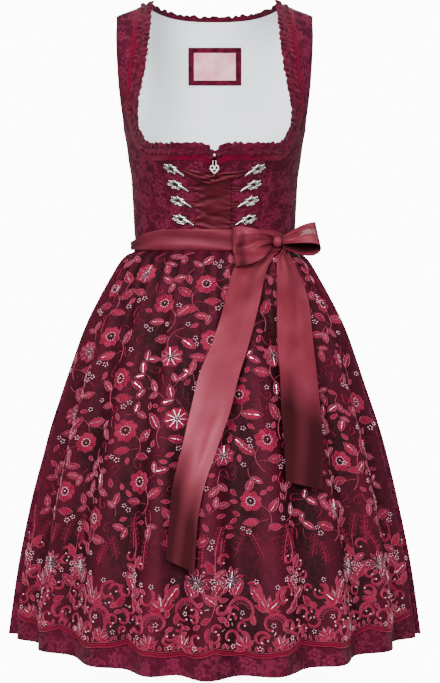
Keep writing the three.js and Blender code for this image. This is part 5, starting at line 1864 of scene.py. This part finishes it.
        counts = {
            "pearl trios": self.fill(60, 15, upper, self.trio),
            "leaf clusters": self.fill(1800, 14, upper, self.leaf_pair),
            "tendrils": self.fill(1600, 9, upper, self.tendril),
            "large scrolls": self.fill(2600, 9, border, self.large_scroll),
            "small scrolls": self.fill(4200, 5.6, border, self.small_scroll),
            "small leaves": self.fill(3600, 4.6, border, self.small_leaf),
            "long beads": self.fill(1200, 4, border, self.dash),
            "small leaves above": self.fill(2400, 7.5, upper, self.small_leaf),
        }
        LOG.info("filled: %s", counts)
        for work in self.works():
            rides(work.build(), "apron")


# ---- sash and bow


@dataclass
class SashAndBow:
    """The satin waistband, its tie round the back, and the bow with its two ends."""

    knot_x: float = 100
    knot_z: float = -391
    knot_half: float = 8
    knot_height: float = 9.5
    knot_depth: float = 8.5
    pleat: float = 1.7
    tail_slant: float = 9
    around: int = 96
    across: int = 33

    def __post_init__(self) -> None:
        """Works out where the knot sits."""
        self.angle = math.degrees(math.asin(self.knot_x / (TORSO.first("half") + SASH.lift)))
        foot = SASH.point(np.array(self.angle), np.array(self.knot_z))
        self.out = SASH.normal(np.array(self.angle), np.array(self.knot_z))
        self.centre = foot + self.out * (self.knot_depth + SEAM_GAP)

    def wrinkled_band(self, name: str, start: float, end: float, top: Callable, count: int) -> Bpy:
        """A stretch of the band, with creases that run along it and die away."""
        angle = np.linspace(start, end, count)[None, :]
        up = np.linspace(0, 1, 22)[:, None]
        z = mix(SASH.bottom, top(angle), up)
        narrow = smooth(SASH.full_angle, SASH.half_angle, np.abs((angle + 180) % 360 - 180))
        wave = 1.1 * np.sin(up * 8 + 1.3 * np.sin(np.radians(angle * 3)) + 0.6) * (1 - 0.5 * narrow)
        drawn = 0.45 * np.sin(up * 13 + np.radians(angle * 5)) * (0.3 + 0.7 * narrow)
        soft = 0.8 * np.sin(np.radians(angle * 7) + up * 3)
        edge = -0.5 * np.exp(-((np.minimum(up, 1 - up) * 35 / 1.5) ** 2))
        from_front = np.abs((angle + 180) % 360 - 180)
        settled = smooth(0, 16, np.abs(from_front - SASH.half_angle))
        lift = (wave + drawn + soft) * settled + edge
        places = np.broadcast_arrays(angle, z)
        # Painted light and shade: lighter where the creases stand out, darker between them and towards the
        # sides, where the band turns away from the light.
        tone = np.clip(0.42 - 0.14 * wave + 0.25 * smooth(40, 80, from_front) + 0 * z, 0, 1)
        return cloth_on(SASH, name, places, SATIN_THICKNESS, Finish.SATIN, lift=lift, tone=tone)

    def over_waistband(self, z: Array) -> Array:
        """How far the apron's highest folds stand out from the band's face at a height."""
        drop = np.maximum(0, WAIST_SEAM_Z - z)
        front = SKIRT.read("front", drop, "drop") + 1.3 * SKIRT.read("fold", drop, "drop")
        face = front + APRON_LIFT + 2 * SKIRT.read("apron", drop, "drop")
        return np.maximum(0, face - SKIRT.first("front") - SASH.lift)

    def turn(self, count: int) -> tuple[Array, Array, Array]:
        """Reach, openness and spread of a loop, for steps round its ribbon."""
        start = 0.08
        turn = 2 * math.pi * np.linspace(start, 1 - start, count)
        reach = (1 - np.cos(turn)) / 2
        return reach, np.sin(turn), np.sin(math.pi / 2 * reach) ** 0.9

    def pleats(self, side: Array, reach: Array) -> Array:
        """Pleats where a loop is gathered into the knot."""
        near = self.pleat * np.cos(4 * math.pi * side) * (1 - reach) ** 1.6
        middle = 1.5 * np.cos(7 * math.pi * side + 1) * np.exp(-((reach - 0.3) ** 2) / 0.08)
        return near + middle * (1 - reach)

    def resting_loop(self) -> Bpy:
        """The loop that lies against the band and hangs over the apron's gathers."""
        end_x, end_z, width, drawn = 29, -398.5, 65, 15
        clearance, over_end, puff = 3.4, 5, 15
        reach, opened, spread = (v[:, None] for v in self.turn(self.around))
        side = np.linspace(-0.5, 0.5, self.across)[None, :]
        x = mix(self.knot_x - self.knot_half + 2.6, end_x, reach)
        angle = np.degrees(np.arcsin(x / (TORSO.first("half") + SASH.lift))) + 0 * side
        z = mix(self.knot_z, end_z, reach) + side * mix(drawn, width, spread)
        settled = smooth(0, 0.35, reach)
        over = over_end * smooth(-(self.knot_z - 8), -(self.knot_z - 20), -z)
        inner = mix(self.knot_depth - 2, self.over_waistband(z) + clearance, settled) + over
        thickness = 4 + puff * np.abs(opened) * reach**0.7
        lift = inner + thickness * (0.5 + 0.5 * np.sign(opened) * np.abs(opened) ** 0.6)
        front = np.clip(opened * 2, 0, 1)
        trough = np.exp(-(((side + 0.02 + 0.25 * (reach - 0.6)) / 0.15) ** 2))
        dent = 6.5 * trough * front * smooth(0.1, 0.6, reach)
        dent = dent * (1 - smooth(0.86, 1, reach))
        fold = 3.0 * np.exp(-(((side - 0.26 - 0.2 * (1 - reach)) / 0.07) ** 2)) * front
        lift = lift + self.pleats(side, reach) - dent + fold * (1 - reach) ** 0.5
        # The furrow is a groove in the face and also painted shade; the bright patch is a painted highlight.
        furrow = np.exp(-(((reach - 0.8 + 0.12 * side) / 0.1) ** 2))
        bright = np.exp(-(((reach - 0.52 - 0.2 * side) / 0.16) ** 2)) * front
        # Painted light and shade: darker in the furrow, by the knot, in a trough, on the inner face and
        # along one edge, lighter in the bright patch.
        tone = 0.22 - 0.5 * bright + 0.5 * furrow * smooth(0.5, 0.2, side)
        tone = tone + 0.5 * np.exp(-((reach / 0.18) ** 2))
        tone = tone + 0.3 * np.exp(-(((side + 0.1) / 0.14) ** 2)) * front * (1 - reach) + 0.6 * (opened < 0)
        tone = tone + 0.25 * smooth(-0.3, -0.5, side)
        face = SASH.lifted(angle, z, lift - 2.2 * furrow * front)
        return ribbon("bow_loop_right_satin", face, SATIN_THICKNESS, Finish.SATIN, np.clip(tone, 0, 1))

    def free_loop(self) -> Bpy:
        """The loop that stands out at the side, with its lower opening turned forwards."""
        outward, tilt, length, puff, width, drawn = (0.95, 0.08, 0.16), 44, 66, 22, 62, 15
        out = unit(np.array(outward))
        front = np.array([0.0, -1.0, 0.0])
        up = unit(np.cross(front, out))
        lie = up * math.cos(math.radians(tilt)) - front * math.sin(math.radians(tilt))
        face = unit(np.cross(lie, out))
        reach, opened, spread = (v[:, None, None] for v in self.turn(self.around))
        side = np.linspace(0.5, -0.5, self.across)[None, :, None]
        swell = -puff * opened * (0.35 + 0.65 * reach) * mix(1, 0.12, smooth(-0.25, 0.4, side))
        swell = swell + self.pleats(side, reach)
        swell = swell + 1.5 * np.sin(6 * side + 5 * reach) * reach * (1 - reach)
        points = self.centre + out * (self.knot_half - 3.9 + length * reach) + face * swell
        points = points + lie * (side * mix(drawn, width, spread))
        # Painted shade: darker on the loop's inner face, by the knot, at its far end and along a crease,
        # with ripples of painted light and shade.
        inside = smooth(0.1, -0.1, opened) * smooth(-0.48, -0.3, side)
        tone = 0.05 + 0.95 * inside + 0.5 * np.exp(-((reach / 0.2) ** 2)) + 0.6 * smooth(0.9, 0.98, reach)
        tone = tone + 0.5 * np.exp(-(((side - 0.1 - 0.25 * reach) / 0.06) ** 2)) * (1 - reach)
        tone = np.clip(tone + 0.15 * np.sin(9 * side + 3 * reach) * reach, 0, 1)[..., 0]
        return ribbon("bow_loop_left_satin", points, SATIN_THICKNESS, Finish.SATIN, tone)

    def knot(self) -> Bpy:
        """The knot: a drawn-up turn of ribbon with creases that run round it."""
        deselect()
        bpy.ops.mesh.primitive_uv_sphere_add(segments=48, ring_count=32, radius=1)
        made = bpy.context.object
        made.name = "bow_knot_satin"
        turned = math.radians(self.angle)
        for vertex in made.data.vertices:
            x, y, z = vertex.co
            crease = 1 + 0.05 * math.cos(9 * x + 2 * z) + 0.035 * math.cos(17 * x - 3 * z)
            waist = 1 - 0.14 * math.exp(-((z / 0.35) ** 2)) * (0.5 + 0.5 * math.cos(3 * x))
            px, py = x * self.knot_half * waist, y * self.knot_depth * crease
            pz = z * self.knot_height * (1 + 0.12 * x * x)
            co = (
                self.centre[0] + px * math.cos(turned) - py * math.sin(turned),
                self.centre[1] + px * math.sin(turned) + py * math.cos(turned), self.centre[2] + pz
            )
            vertex.co = Vector(co) * MM
        made.data.uv_layers[0].name = "cloth"
        for corner in made.data.uv_layers["cloth"].uv:
            corner.vector = corner.vector * 0.06
        made.data.materials.append(Finish.SATIN.material())
        return smooth_shaded(made, 80)

    def tail(self, name: str, table: Table, soft: Sequence[tuple], shade_from: float) -> Bpy:
        """A sash end over the apron's folds.

        Args:
            name: the piece's name.
            table: its drops, places and widths.
            soft: soft creases: share down, share across, length, width and depth.
            shade_from: the share down from which the satin turns away from the light.

        Returns:
            The ribbon.
        """
        count = 120
        drops = mix(table.first("drop"), table.last("drop"), np.linspace(0, 1, count) ** 1.15)[:, None]
        side = np.linspace(-0.5, 0.5, self.across)[None, :]
        x, width = table.read("x", drops, "drop"), table.read("width", drops, "drop")
        cut = self.tail_slant * 2 * side * smooth(0.75, 1, drops / table.last("drop"))
        drop = drops + cut
        row = SKIRT.read("row", drop, "drop")
        across = x + side * width
        angle = np.degrees(np.arcsin(np.clip(across / SKIRT.read("half", row), -1, 1)))
        lift = SKIRT.read("fold", row) * 1.3 + APRON_LIFT + 2 * SKIRT.read("apron", row)
        at_knot = 9 * (1 - smooth(0, 17, drops))
        share = (drops - table.first("drop")) / (table.last("drop") - table.first("drop"))
        ripple = 1.3 * np.sin(7.5 * share + 2.5 * side) * smooth(0.02, 0.25, share)
        gathered = 1.6 * np.cos(5 * math.pi * side) * (1 - smooth(0.0, 0.16, share))
        for down, over, long, wide, deep in soft:
            ripple = ripple + deep * np.exp(-(((share - down) / long) ** 2) - ((side - over) / wide) ** 2)
        out = lift + 5.0 + at_knot + ripple + gathered
        points = SKIRT_FORM.ring(angle, row, out)[::-1]
        # Painted shade: darker where the end turns away from the light, near the knot and along a fold, with
        # ripples of painted light and shade.
        turned = smooth(shade_from, shade_from + 0.24, share - 0.14 * side)
        painted_shade = 0.25 * smooth(0.2, 0.0, share) + 0.95 * turned
        painted_shade = painted_shade + 0.28 * np.exp(-(((share - 0.16 + 0.1 * side) / 0.05) ** 2))
        painted_shade = painted_shade + 0.12 * np.sin(9 * side + 6 * share)
        return ribbon(name, points, SATIN_THICKNESS, Finish.SATIN, np.clip(painted_shade, 0, 1)[::-1])

    def build(self) -> None:
        """Builds the band, the tie, the loops, the knot and the two ends."""
        half = SASH.half_angle
        band = self.wrinkled_band("apron_waistband_satin", -half, half, SASH.upper_edge, 200)
        sewn(band, "satin", "stretched", ["apron_waistband"])
        tie = self.wrinkled_band(
            "sash_tie_back_satin", half + 0.15, 360 - half - 0.15, lambda a: SASH.narrow_top + 0 * a, 220
        )
        sewn(tie, "satin", "stretched", ["sash_tie_back"])
        knot = ["bow_knot_satin"]
        for loop, node in ((self.resting_loop(), "bow_loop_right"), (self.free_loop(), "bow_loop_left")):
            sewn(loop, "satin", "gathered", [node], knot)
        rides(self.knot(), "satin", "bow_knot")
        ends = {
            "right": (TAIL_RIGHT, [(0.16, -0.1, 0.07, 0.12, -1.8), (0.62, 0.2, 0.12, 0.14, -1.4)], 0.62),
            "left": (TAIL_LEFT, [(0.28, 0.1, 0.1, 0.1, -1.8), (0.7, -0.15, 0.16, 0.12, -1.4)], 0.5),
        }
        for side, looks in ends.items():
            sewn(self.tail(f"sash_end_{side}_satin", *looks), "satin", "hung", [f"sash_end_{side}"], knot)


# ---- hooks and lacing


def front_frame(x: float, z: float, lift: float, turn: float) -> Matrix:
    """A frame on the bodice, in metres: x towards the centre front, z out of the cloth.

    Args:
        x: distance from the centre front, to the wearer's left.
        z: height.
        lift: distance above the cloth.
        turn: turn about the frame's z, in degrees.

    Returns:
        The frame.
    """
    angle, row = TORSO_FORM.place(x, z)
    outward = Vector(TORSO_FORM.normal(angle, row))
    level = Vector((-1 if x > 0 else 1, 0, 0))
    level = (level - outward * level.dot(outward)).normalized()
    foot = Vector(TORSO_FORM.point(angle, row)) + outward * lift
    frame = Matrix((level, outward.cross(level), outward)).transposed().to_4x4()
    return Matrix.Translation(foot * MM) @ frame @ Matrix.Rotation(math.radians(turn), 4, "Z")


@dataclass
class Hooks:
    """Eight cast lacing hooks: a lobed leaf with a hole, a granulated rim and a prong."""

    length: float = 27
    height: float = 15
    lobes: int = 7
    hole: float = 2.0
    thickness: float = 2.6
    prong: float = 25
    tilt: float = 15

    def outline(self, count: int) -> Array:
        """The leaf's outline."""
        turn = 2 * math.pi * np.arange(count) / count
        lobe = 1 + 0.12 * np.cos(self.lobes * turn)
        x, y = self.length / 2 * lobe * np.cos(turn), self.height / 2 * lobe * np.sin(turn)
        return np.column_stack([x, y])

    def plate(self) -> Bpy:
        """The leaf, domed, with a hole in its middle."""
        rings = (
            (1.0, 0.0), (1.0, 1.1), (0.93, 1.7), (0.84, 1.5), (0.74, 2.1), (0.5, 2.6), (0.32, 2.3),
            (0.24, 1.9),
        )
        count = 84
        rim = self.outline(count)
        turn = 2 * math.pi * np.arange(count) / count
        hole = np.column_stack([self.hole * np.cos(turn), self.hole * np.sin(turn)])
        points = [np.column_stack([mix(hole, rim, share), np.full(count, high)]) for share, high in rings]
        points.append(np.column_stack([hole, np.full(count, 1.6)]))
        points.append(np.column_stack([hole, np.full(count, 0.0)]))
        faces = ring_faces(count, len(points), closed=True)
        made = mesh_object("hook_plate", np.concatenate(points), faces, [Finish.SILVER])
        set_tone(made, np.repeat([0.9, 0.5, 0.1, 0.9, 0.3, 0.0, 0.3, 1.0, 1.0, 1.0], count))
        return made

    def finger(self) -> Bpy:
        """The prong, a tapered finger with a rounded tip."""
        t = np.linspace(0, 1, 22)
        x = mix(6.0, self.prong + 0.6, t)
        y = 1.2 - 4.2 * t**2
        radius = mix(2.1, 1.15, t) * np.sqrt(np.clip(1 - ((t - 0.93) / 0.07).clip(0) ** 2, 0.02, 1))
        turn = 2 * math.pi * np.arange(12) / 12
        z = 1.5 + 0.7 * np.sin(math.pi * t)
        rings = np.stack(
            [
                x[:, None] + 0 * turn,
                y[:, None] + radius[:, None] * np.cos(turn) * 1.25,
                z[:, None] + radius[:, None] * np.sin(turn) * 0.9,
            ],
            axis=-1,
        )
        faces = ring_faces(12, 22) + [list(range(12))[::-1], [21 * 12 + j for j in range(12)]]
        made = mesh_object("hook_finger", rings.reshape(-1, 3), faces, [Finish.SILVER])
        set_tone(made, (0.55 - 0.5 * np.sin(turn) + 0 * t[:, None]).ravel())
        return made

    def granules(self) -> list[Bpy]:
        """Small cast beads round the leaf."""
        made = []
        for x, y in self.outline(self.lobes * 3)[::3] * 0.86:
            deselect()
            bpy.ops.mesh.primitive_uv_sphere_add(
                segments=12, ring_count=8, radius=1.25 * MM, location=(x * MM, y * MM, 2.0 * MM)
            )
            bead = settle(bpy.context.object)
            bead.data.materials.append(Finish.SILVER.material())
            made.append(bead)
        return made

    def pattern(self) -> Bpy:
        """One hook, modelled once at the origin."""
        return outward_faces(joined("hook_pattern", [self.plate(), self.finger(), *self.granules()]))

    def build(self) -> None:
        """Copies the pattern to its eight places."""
        pattern = self.pattern()
        for row in HOOK_ROWS.rows():
            for side, word in ((-1, "right"), (1, "left")):
                mesh = pattern.data.copy()
                if side > 0:
                    mesh.transform(Matrix.Scale(-1, 4, (0, 1, 0)))
                    mesh.flip_normals()
                mesh.transform(front_frame(side * row["x"], row["z"], 0.4, side * self.tilt))
                name = f"hook_{int(row['row']) + 1}_{word}"
                hook = bpy.data.objects.new(f"{name}_cast", mesh)
                bpy.context.scene.collection.objects.link(hook)
                rides(smooth_shaded(hook, 50), "silver", name)
        bpy.data.objects.remove(pattern)


@dataclass
class Lacing:
    """The satin ribbon laced from hook to hook, with a loose loop that hangs in front."""

    reach: float = 19
    segments: int = 70

    def front_ribbon(
        self, name: str, start: tuple, end: tuple, shape: Callable, rows: int = 25, shade: float = 0
    ) -> Bpy:
        """A ribbon on the front.

        Args:
            name: the piece's name.
            start: x and z of its start.
            end: x and z of its end.
            shape: from a share along and a share across, its width, sag and lift.
            rows: rows of points across it.
            shade: how dark the painted shadow along its upper edge is.

        Returns:
            The ribbon.
        """
        share = np.linspace(0, 1, self.segments)[None, :]
        side = np.linspace(-0.5, 0.5, rows)[:, None]
        width, sag, lift = shape(share, side)
        x = mix(start[0], end[0], share) + 0 * side
        z = mix(start[1], end[1], share) - sag + side * width
        angle, row = TORSO_FORM.place(x, z)
        points = TORSO_FORM.lifted(angle, row, lift)
        inner = TORSO_FORM.lifted(angle, row, lift - 0.8)
        # Painted shade: darker in the hollows and where the ribbon lies low, lighter on its raised parts,
        # and a painted shadow along the upper edge.
        step = float(np.mean(width)) / (rows - 1)
        hollow = np.gradient(np.gradient(lift, step, axis=0), step, axis=0)
        tone = 0.25 + 0.75 * hollow + 0.14 * (lift.mean() - lift) + shade * smooth(0.3, 0.46, side)
        return wall(name, points, inner, Finish.LACE, tone=np.clip(tone, 0, 1))

    def build(self) -> None:
        """Builds the four runs and the hanging loop."""

        def run(share: Array, side: Array) -> tuple[Array, Array, Array]:
            """A taut run's width, sag and lift."""
            bulge = np.sin(math.pi * share)
            creases = 0.5 * np.cos(4 * math.pi * side) * (1 - bulge) + 0.25 * np.sin(18 * share + 5 * side)
            return mix(7, 12, bulge**0.5), 0 * share, 1.6 + creases

        def top(share: Array, side: Array) -> tuple[Array, Array, Array]:
            """The top run's width, sag and lift."""
            bulge = np.sin(math.pi * share)
            near = np.minimum(share, 1 - share)
            lift = mix(1.6, 4.9, smooth(0, 0.17, near))
            scrunch = 1.0 * np.sin(side * 12 + 3 * np.sin(share * 7)) + 0.4 * np.sin(side * 19 + 11 * share)
            scrunch = scrunch + 0.8 * np.sin(34 * share + 5 * side) * np.exp(-(((share - 0.62) / 0.16) ** 2))
            roll = -1.2 * (2 * side) ** 4
            return mix(8, 19, bulge), 11 * bulge**1.2, lift + scrunch * (0.6 + 0.6 * bulge) + roll

        for row in HOOK_ROWS.rows():
            k = int(row["row"])
            drop = 6 if k else 4
            ends = [(side * (row["x"] - self.reach), row["z"] - drop) for side in (-1, 1)]
            name = f"lacing_{k + 1}" if k else "lacing_top"
            ribbon_piece = self.front_ribbon(f"{name}_satin", *ends, run if k else top)
            sewn(ribbon_piece, "satin", "stretched", [name])
        self.build_hanging()

    def build_hanging(self) -> None:
        """The loose loop, creased towards the hooks and pinched at two places."""
        left, right, upper, lower = -31.5, 26.0, -287.0, -379.0

        def shape(share: Array, side: Array) -> tuple[Array, Array, Array]:
            """The loop's width, sag and lift."""
            z = (upper + lower) / 2 + side * (upper - lower)
            lift = 4.8 + 0 * share
            for row in HOOK_ROWS.rows()[1:]:
                fan = (z - row["z"] + 6 - 5 * share) / (6 + 26 * share)
                fade = np.exp(-(fan**2) * 0.4 - share * 1.8)
                lift = lift + 1.3 * np.cos(4.8 * fan + 0.6 * row["row"]) * fade
                other = (z - row["z"] + 4 + 6 * share) / (6 + 20 * (1 - share))
                fade = np.exp(-(other**2) * 0.5 - (1 - share) * 3)
                lift = lift + 0.8 * np.cos(5.2 * other + row["row"]) * fade
            pinches = ((-306, 0.62, 10), (-318, 0.38, -7), (-346, 0.5, 5), (-360, 0.3, 16))
            for pinch, middle, slope in pinches:
                away = (z - pinch + slope * (share - middle)) / 3.6
                lift = lift - 1.5 * np.exp(-(away**2) - (((share - middle) / 0.3) ** 2))
            lift = lift + 0.7 * np.sin(3.4 * share + 0.05 * z) + 0.3 * np.sin(9 * share + 0.16 * z)
            lift = lift + 0.5 * np.sin(26 * share + 0.03 * z) * smooth(0.45, 0.5, side)
            return (upper - lower) + 0 * share, 2.5 * np.sin(3 * share) * (side + 0.5), lift

        middle = (upper + lower) / 2
        # The loop's upper edge gets a painted shadow, where the top run hangs over it.
        loop = self.front_ribbon("lacing_hanging_satin", (left, middle), (right, middle), shape, 85, 0.6)
        sewn(loop, "satin", "hung", ["lacing_hanging"], ["lacing_top_satin"])


# ---- zip


@dataclass
class Zip:
    """The zip in the centre front: its tape, its teeth, and the metal of its slider and heart."""

    half_tape: float = 10
    top: float = -251
    bottom: float = -399
    pitch: float = 1.9

    def build(self) -> None:
        """Builds the tape and the teeth; the slider and the heart keep their solids."""
        z = np.linspace(self.bottom, self.top, 60)[:, None]
        x = np.linspace(-1, 1, 17)[None, :] * self.half_tape
        places = TORSO_FORM.place(x, z)
        tape = cloth_on(TORSO_FORM, "zip_tape_weave", places, 0.8, Finish.TAPE, lift=-CLOTH - 0.9)
        sewn(tape, "zip", "laid", ["zip_tape"])
        rides(self.teeth(), "zip")
        for name, finish in (("zip_slider", Finish.LACQUER), ("zip_pull", Finish.SILVER)):
            for slot in FRAME["nodes"][name].material_slots:
                slot.material = finish.material()

    def teeth(self) -> Bpy:
        """Two rows of teeth that mesh down the middle."""
        points, faces = [], []
        count = int((self.top - 12 - self.bottom) / self.pitch)
        for k in range(count):
            side = 1 if k % 2 else -1
            z = self.bottom + 2 + k * self.pitch
            angle, row = TORSO_FORM.place(0.0, z)
            foot = TORSO_FORM.lifted(angle, row, -CLOTH - 0.9)
            for x in (-side * 0.7, side * 1.3):
                for out, high in ((0, -0.6), (0, 0.6), (1.1, 0.45), (1.1, -0.45)):
                    points.append(foot + np.array([x, -out, high]))
            base = len(points) - 8
            quads = [(0, 1, 2, 3), (4, 7, 6, 5), (0, 4, 5, 1), (1, 5, 6, 2), (2, 6, 7, 3), (3, 7, 4, 0)]
            faces += [[base + n for n in quad] for quad in quads]
        return outward_faces(mesh_object("zip_teeth", np.array(points), faces, [Finish.TAPE]))


# ---- topstitching


@dataclass
class Topstitching:
    """Rows of sewing-machine stitches beside the seams and along the hems, as one mesh."""

    bodice: Bodice
    pitch: float = 3.6
    length: float = 2.7
    radius: float = 0.32
    points: list[Array] = field(default_factory=list)

    def row(self, line: Array, outward: Array) -> None:
        """Sews along a line of points on the cloth.

        Args:
            line: points of the line, in millimetres.
            outward: the cloth's outward normals there.
        """
        reach = np.concatenate([[0], np.cumsum(np.linalg.norm(np.diff(line, axis=0), axis=1))])
        starts = np.arange(self.pitch / 2, reach[-1] - self.length, self.pitch)

        def at(place: Array, values: Array) -> Array:
            """Values at places along the line."""
            return np.stack([np.interp(place, reach, values[:, k]) for k in range(3)], axis=-1)

        for share, size in ((0, 0.5), (0.5, 1), (1, 0.5)):
            middle, normal = at(starts + share * self.length, line), unit(at(starts, outward))
            across = unit(np.cross(at(starts + self.length, line) - at(starts, line), normal))
            for side, out in ((-1, 0.0), (0, 1.3), (1, 0.0)):
                self.points.append(middle + (across * side + normal * out) * self.radius * size)

    def along(self, surface: Surface, angle: Array, row: Array, lift: float = 0.0) -> None:
        """Sews along places of a surface."""
        angle, row = np.broadcast_arrays(angle, row)
        self.row(surface.lifted(angle, row, lift), surface.normal(angle, row))

    def build(self) -> None:
        """Sews the princess seams, the armholes, the skirt's hem and the waistband."""
        spans = []
        body = self.bodice
        seam = np.linspace(0.2, body.corner_row, 90)
        arm = np.linspace(body.underarm_row + 0.4, RIDGE_ROW - 0.3, 90)
        band = np.linspace(-SASH.half_angle + 2, SASH.half_angle - 2, 160)
        hem = np.linspace(-180, 180, 1400)
        for hand in (-1, 1):
            for off in (-4.2, 4.2):
                beside = hand * TORSO_FORM.moved(body.princess(seam), seam, off)
                spans.append((TORSO_FORM, beside, seam, 0.0))
            for side, off in (("front", -4.5), ("back", 4.5)):
                edge = TORSO_FORM.moved(TORSO_FORM.armhole_angle(arm, side), arm, off)
                spans.append((TORSO_FORM, hand * edge, arm, 0.0))
            spans.append((SASH, band, mix(SASH.bottom, SASH.upper_edge(band), 0.5 + hand * 0.43), 0.9))
        spans.append((SKIRT_FORM, hem, SKIRT.read("row", np.array(HEM_STITCH_DROP), "drop"), 0.0))
        faces = []
        for surface, angle, row, lift in spans:
            first = sum(len(part) for part in self.points)
            self.along(surface, angle, row, lift)
            count = len(self.points[-1])
            for level in (0, 1):
                for a, b in ((0, 1), (1, 2), (2, 0)):
                    corners = [level * 3 + a, level * 3 + b, level * 3 + 3 + b, level * 3 + 3 + a]
                    faces += [[first + c * count + k for c in corners] for k in range(count)]
            for cap in ((2, 1, 0), (6, 7, 8)):
                faces += [[first + c * count + k for c in cap] for k in range(count)]
        made = mesh_object("topstitching", np.concatenate(self.points), faces, [Finish.SEWING])
        set_uv(made, np.concatenate(self.points)[:, ::2])
        rides(outward_faces(made), "frill")


# ---- studio


@dataclass(frozen=True)
class Studio:
    """A pale floor, soft lights and the camera, in metres."""

    camera_place: tuple[float, float, float] = (0.0091, -2.9, -0.388)
    camera_pitch: float = 3.44
    sensor: float = 36
    lens: float = 88.87
    floor_z: float = -1.36
    floor_radius: float = 2.0
    floor_fade: tuple[float, float] = (1.0, 0.35)
    floor_glow: float = 0.3
    air_light: float = 0.5
    air_seen: float = 12.0

    def build(self) -> None:
        """Builds the camera, the floor and the lights."""
        self.build_camera()
        self.build_floor()
        self.build_air()
        self.lamp("key_light", (-1.0, -3.2, 1.0), 1.7, 215)
        self.lamp("fill_light", (1.5, -3.0, 0.1), 2.0, 75)
        self.lamp("top_light", (0.2, -0.6, 2.3), 1.8, 40)
        self.lamp("rear_light", (0.2, 3.0, 0.8), 2.0, 90)

    def build_floor(self) -> None:
        """A round of pale paper that fades into the white air beyond it."""
        deselect()
        bpy.ops.mesh.primitive_circle_add(
            vertices=96, radius=self.floor_radius, fill_type="NGON", location=(0, 0, self.floor_z)
        )
        floor = settle(bpy.context.object)
        floor.name = "studio_floor"
        paper = Shader("studio_paper")
        level = paper.node("ShaderNodeMapping", {}, {"Vector": paper.body_place(), "Scale": (1, 1, 0)})
        reach = paper.node("ShaderNodeVectorMath", {"operation": "LENGTH"}, {0: level}, "Value")
        paper.connect(Base_Color=(0.9, 0.9, 0.9, 1), Roughness=0.9, Alpha=reach.step(*self.floor_fade))
        paper.connect(Emission_Color=(1, 1, 1, 1), Emission_Strength=self.floor_glow)
        floor.data.materials.append(paper.material)

    def build_air(self) -> None:
        """The studio's white surroundings, brighter behind the dress than in the light they give."""
        world = bpy.data.worlds.new("studio_air")
        world.use_nodes = True
        tree = world.node_tree
        seen = tree.nodes.new("ShaderNodeLightPath")
        strength = tree.nodes.new("ShaderNodeMapRange")
        strength.inputs["To Min"].default_value = self.air_light
        strength.inputs["To Max"].default_value = self.air_seen
        tree.links.new(seen.outputs["Is Camera Ray"], strength.inputs["Value"])
        tree.links.new(strength.outputs[0], tree.nodes["Background"].inputs["Strength"])
        tree.nodes["Background"].inputs["Color"].default_value = (1, 1, 1, 1)
        bpy.context.scene.world = world

    def lamp(self, name: str, place: tuple[float, float, float], size: float, watts: float) -> None:
        """An area light that looks at the dress."""
        light = bpy.data.lights.new(name, "AREA")
        light.shape, light.size, light.energy = "DISK", size, watts
        lamp = bpy.data.objects.new(name, light)
        bpy.context.scene.collection.objects.link(lamp)
        lamp.location = place
        target = Vector((0, 0, -0.5))
        lamp.rotation_euler = (target - Vector(place)).to_track_quat("-Z", "Y").to_euler()

    def build_camera(self) -> None:
        """The camera in front of the dress, tipped down a little."""
        lens = bpy.data.cameras.new("camera")
        lens.sensor_fit, lens.sensor_width, lens.lens = "AUTO", self.sensor, self.lens
        camera = bpy.data.objects.new("camera", lens)
        bpy.context.scene.collection.objects.link(camera)
        camera.location = self.camera_place
        camera.rotation_euler = (math.radians(90 - self.camera_pitch), 0, 0)
        bpy.context.scene.camera = camera


FRAME: dict = {}


def main() -> None:
    """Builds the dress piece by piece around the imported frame."""
    logging.basicConfig(level=logging.INFO, format="%(name)s: %(message)s")
    FRAME.update(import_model())
    Studio().build()
    bodice = Bodice()
    bodice.build()
    NeckFrill(bodice).build()
    FullSkirt().build()
    ApronCloth().build()
    SashAndBow().build()
    Hooks().build()
    Lacing().build()
    Zip().build()
    Topstitching(bodice).build()
    Embroidery().build()


if __name__ == "__main__":
    main()
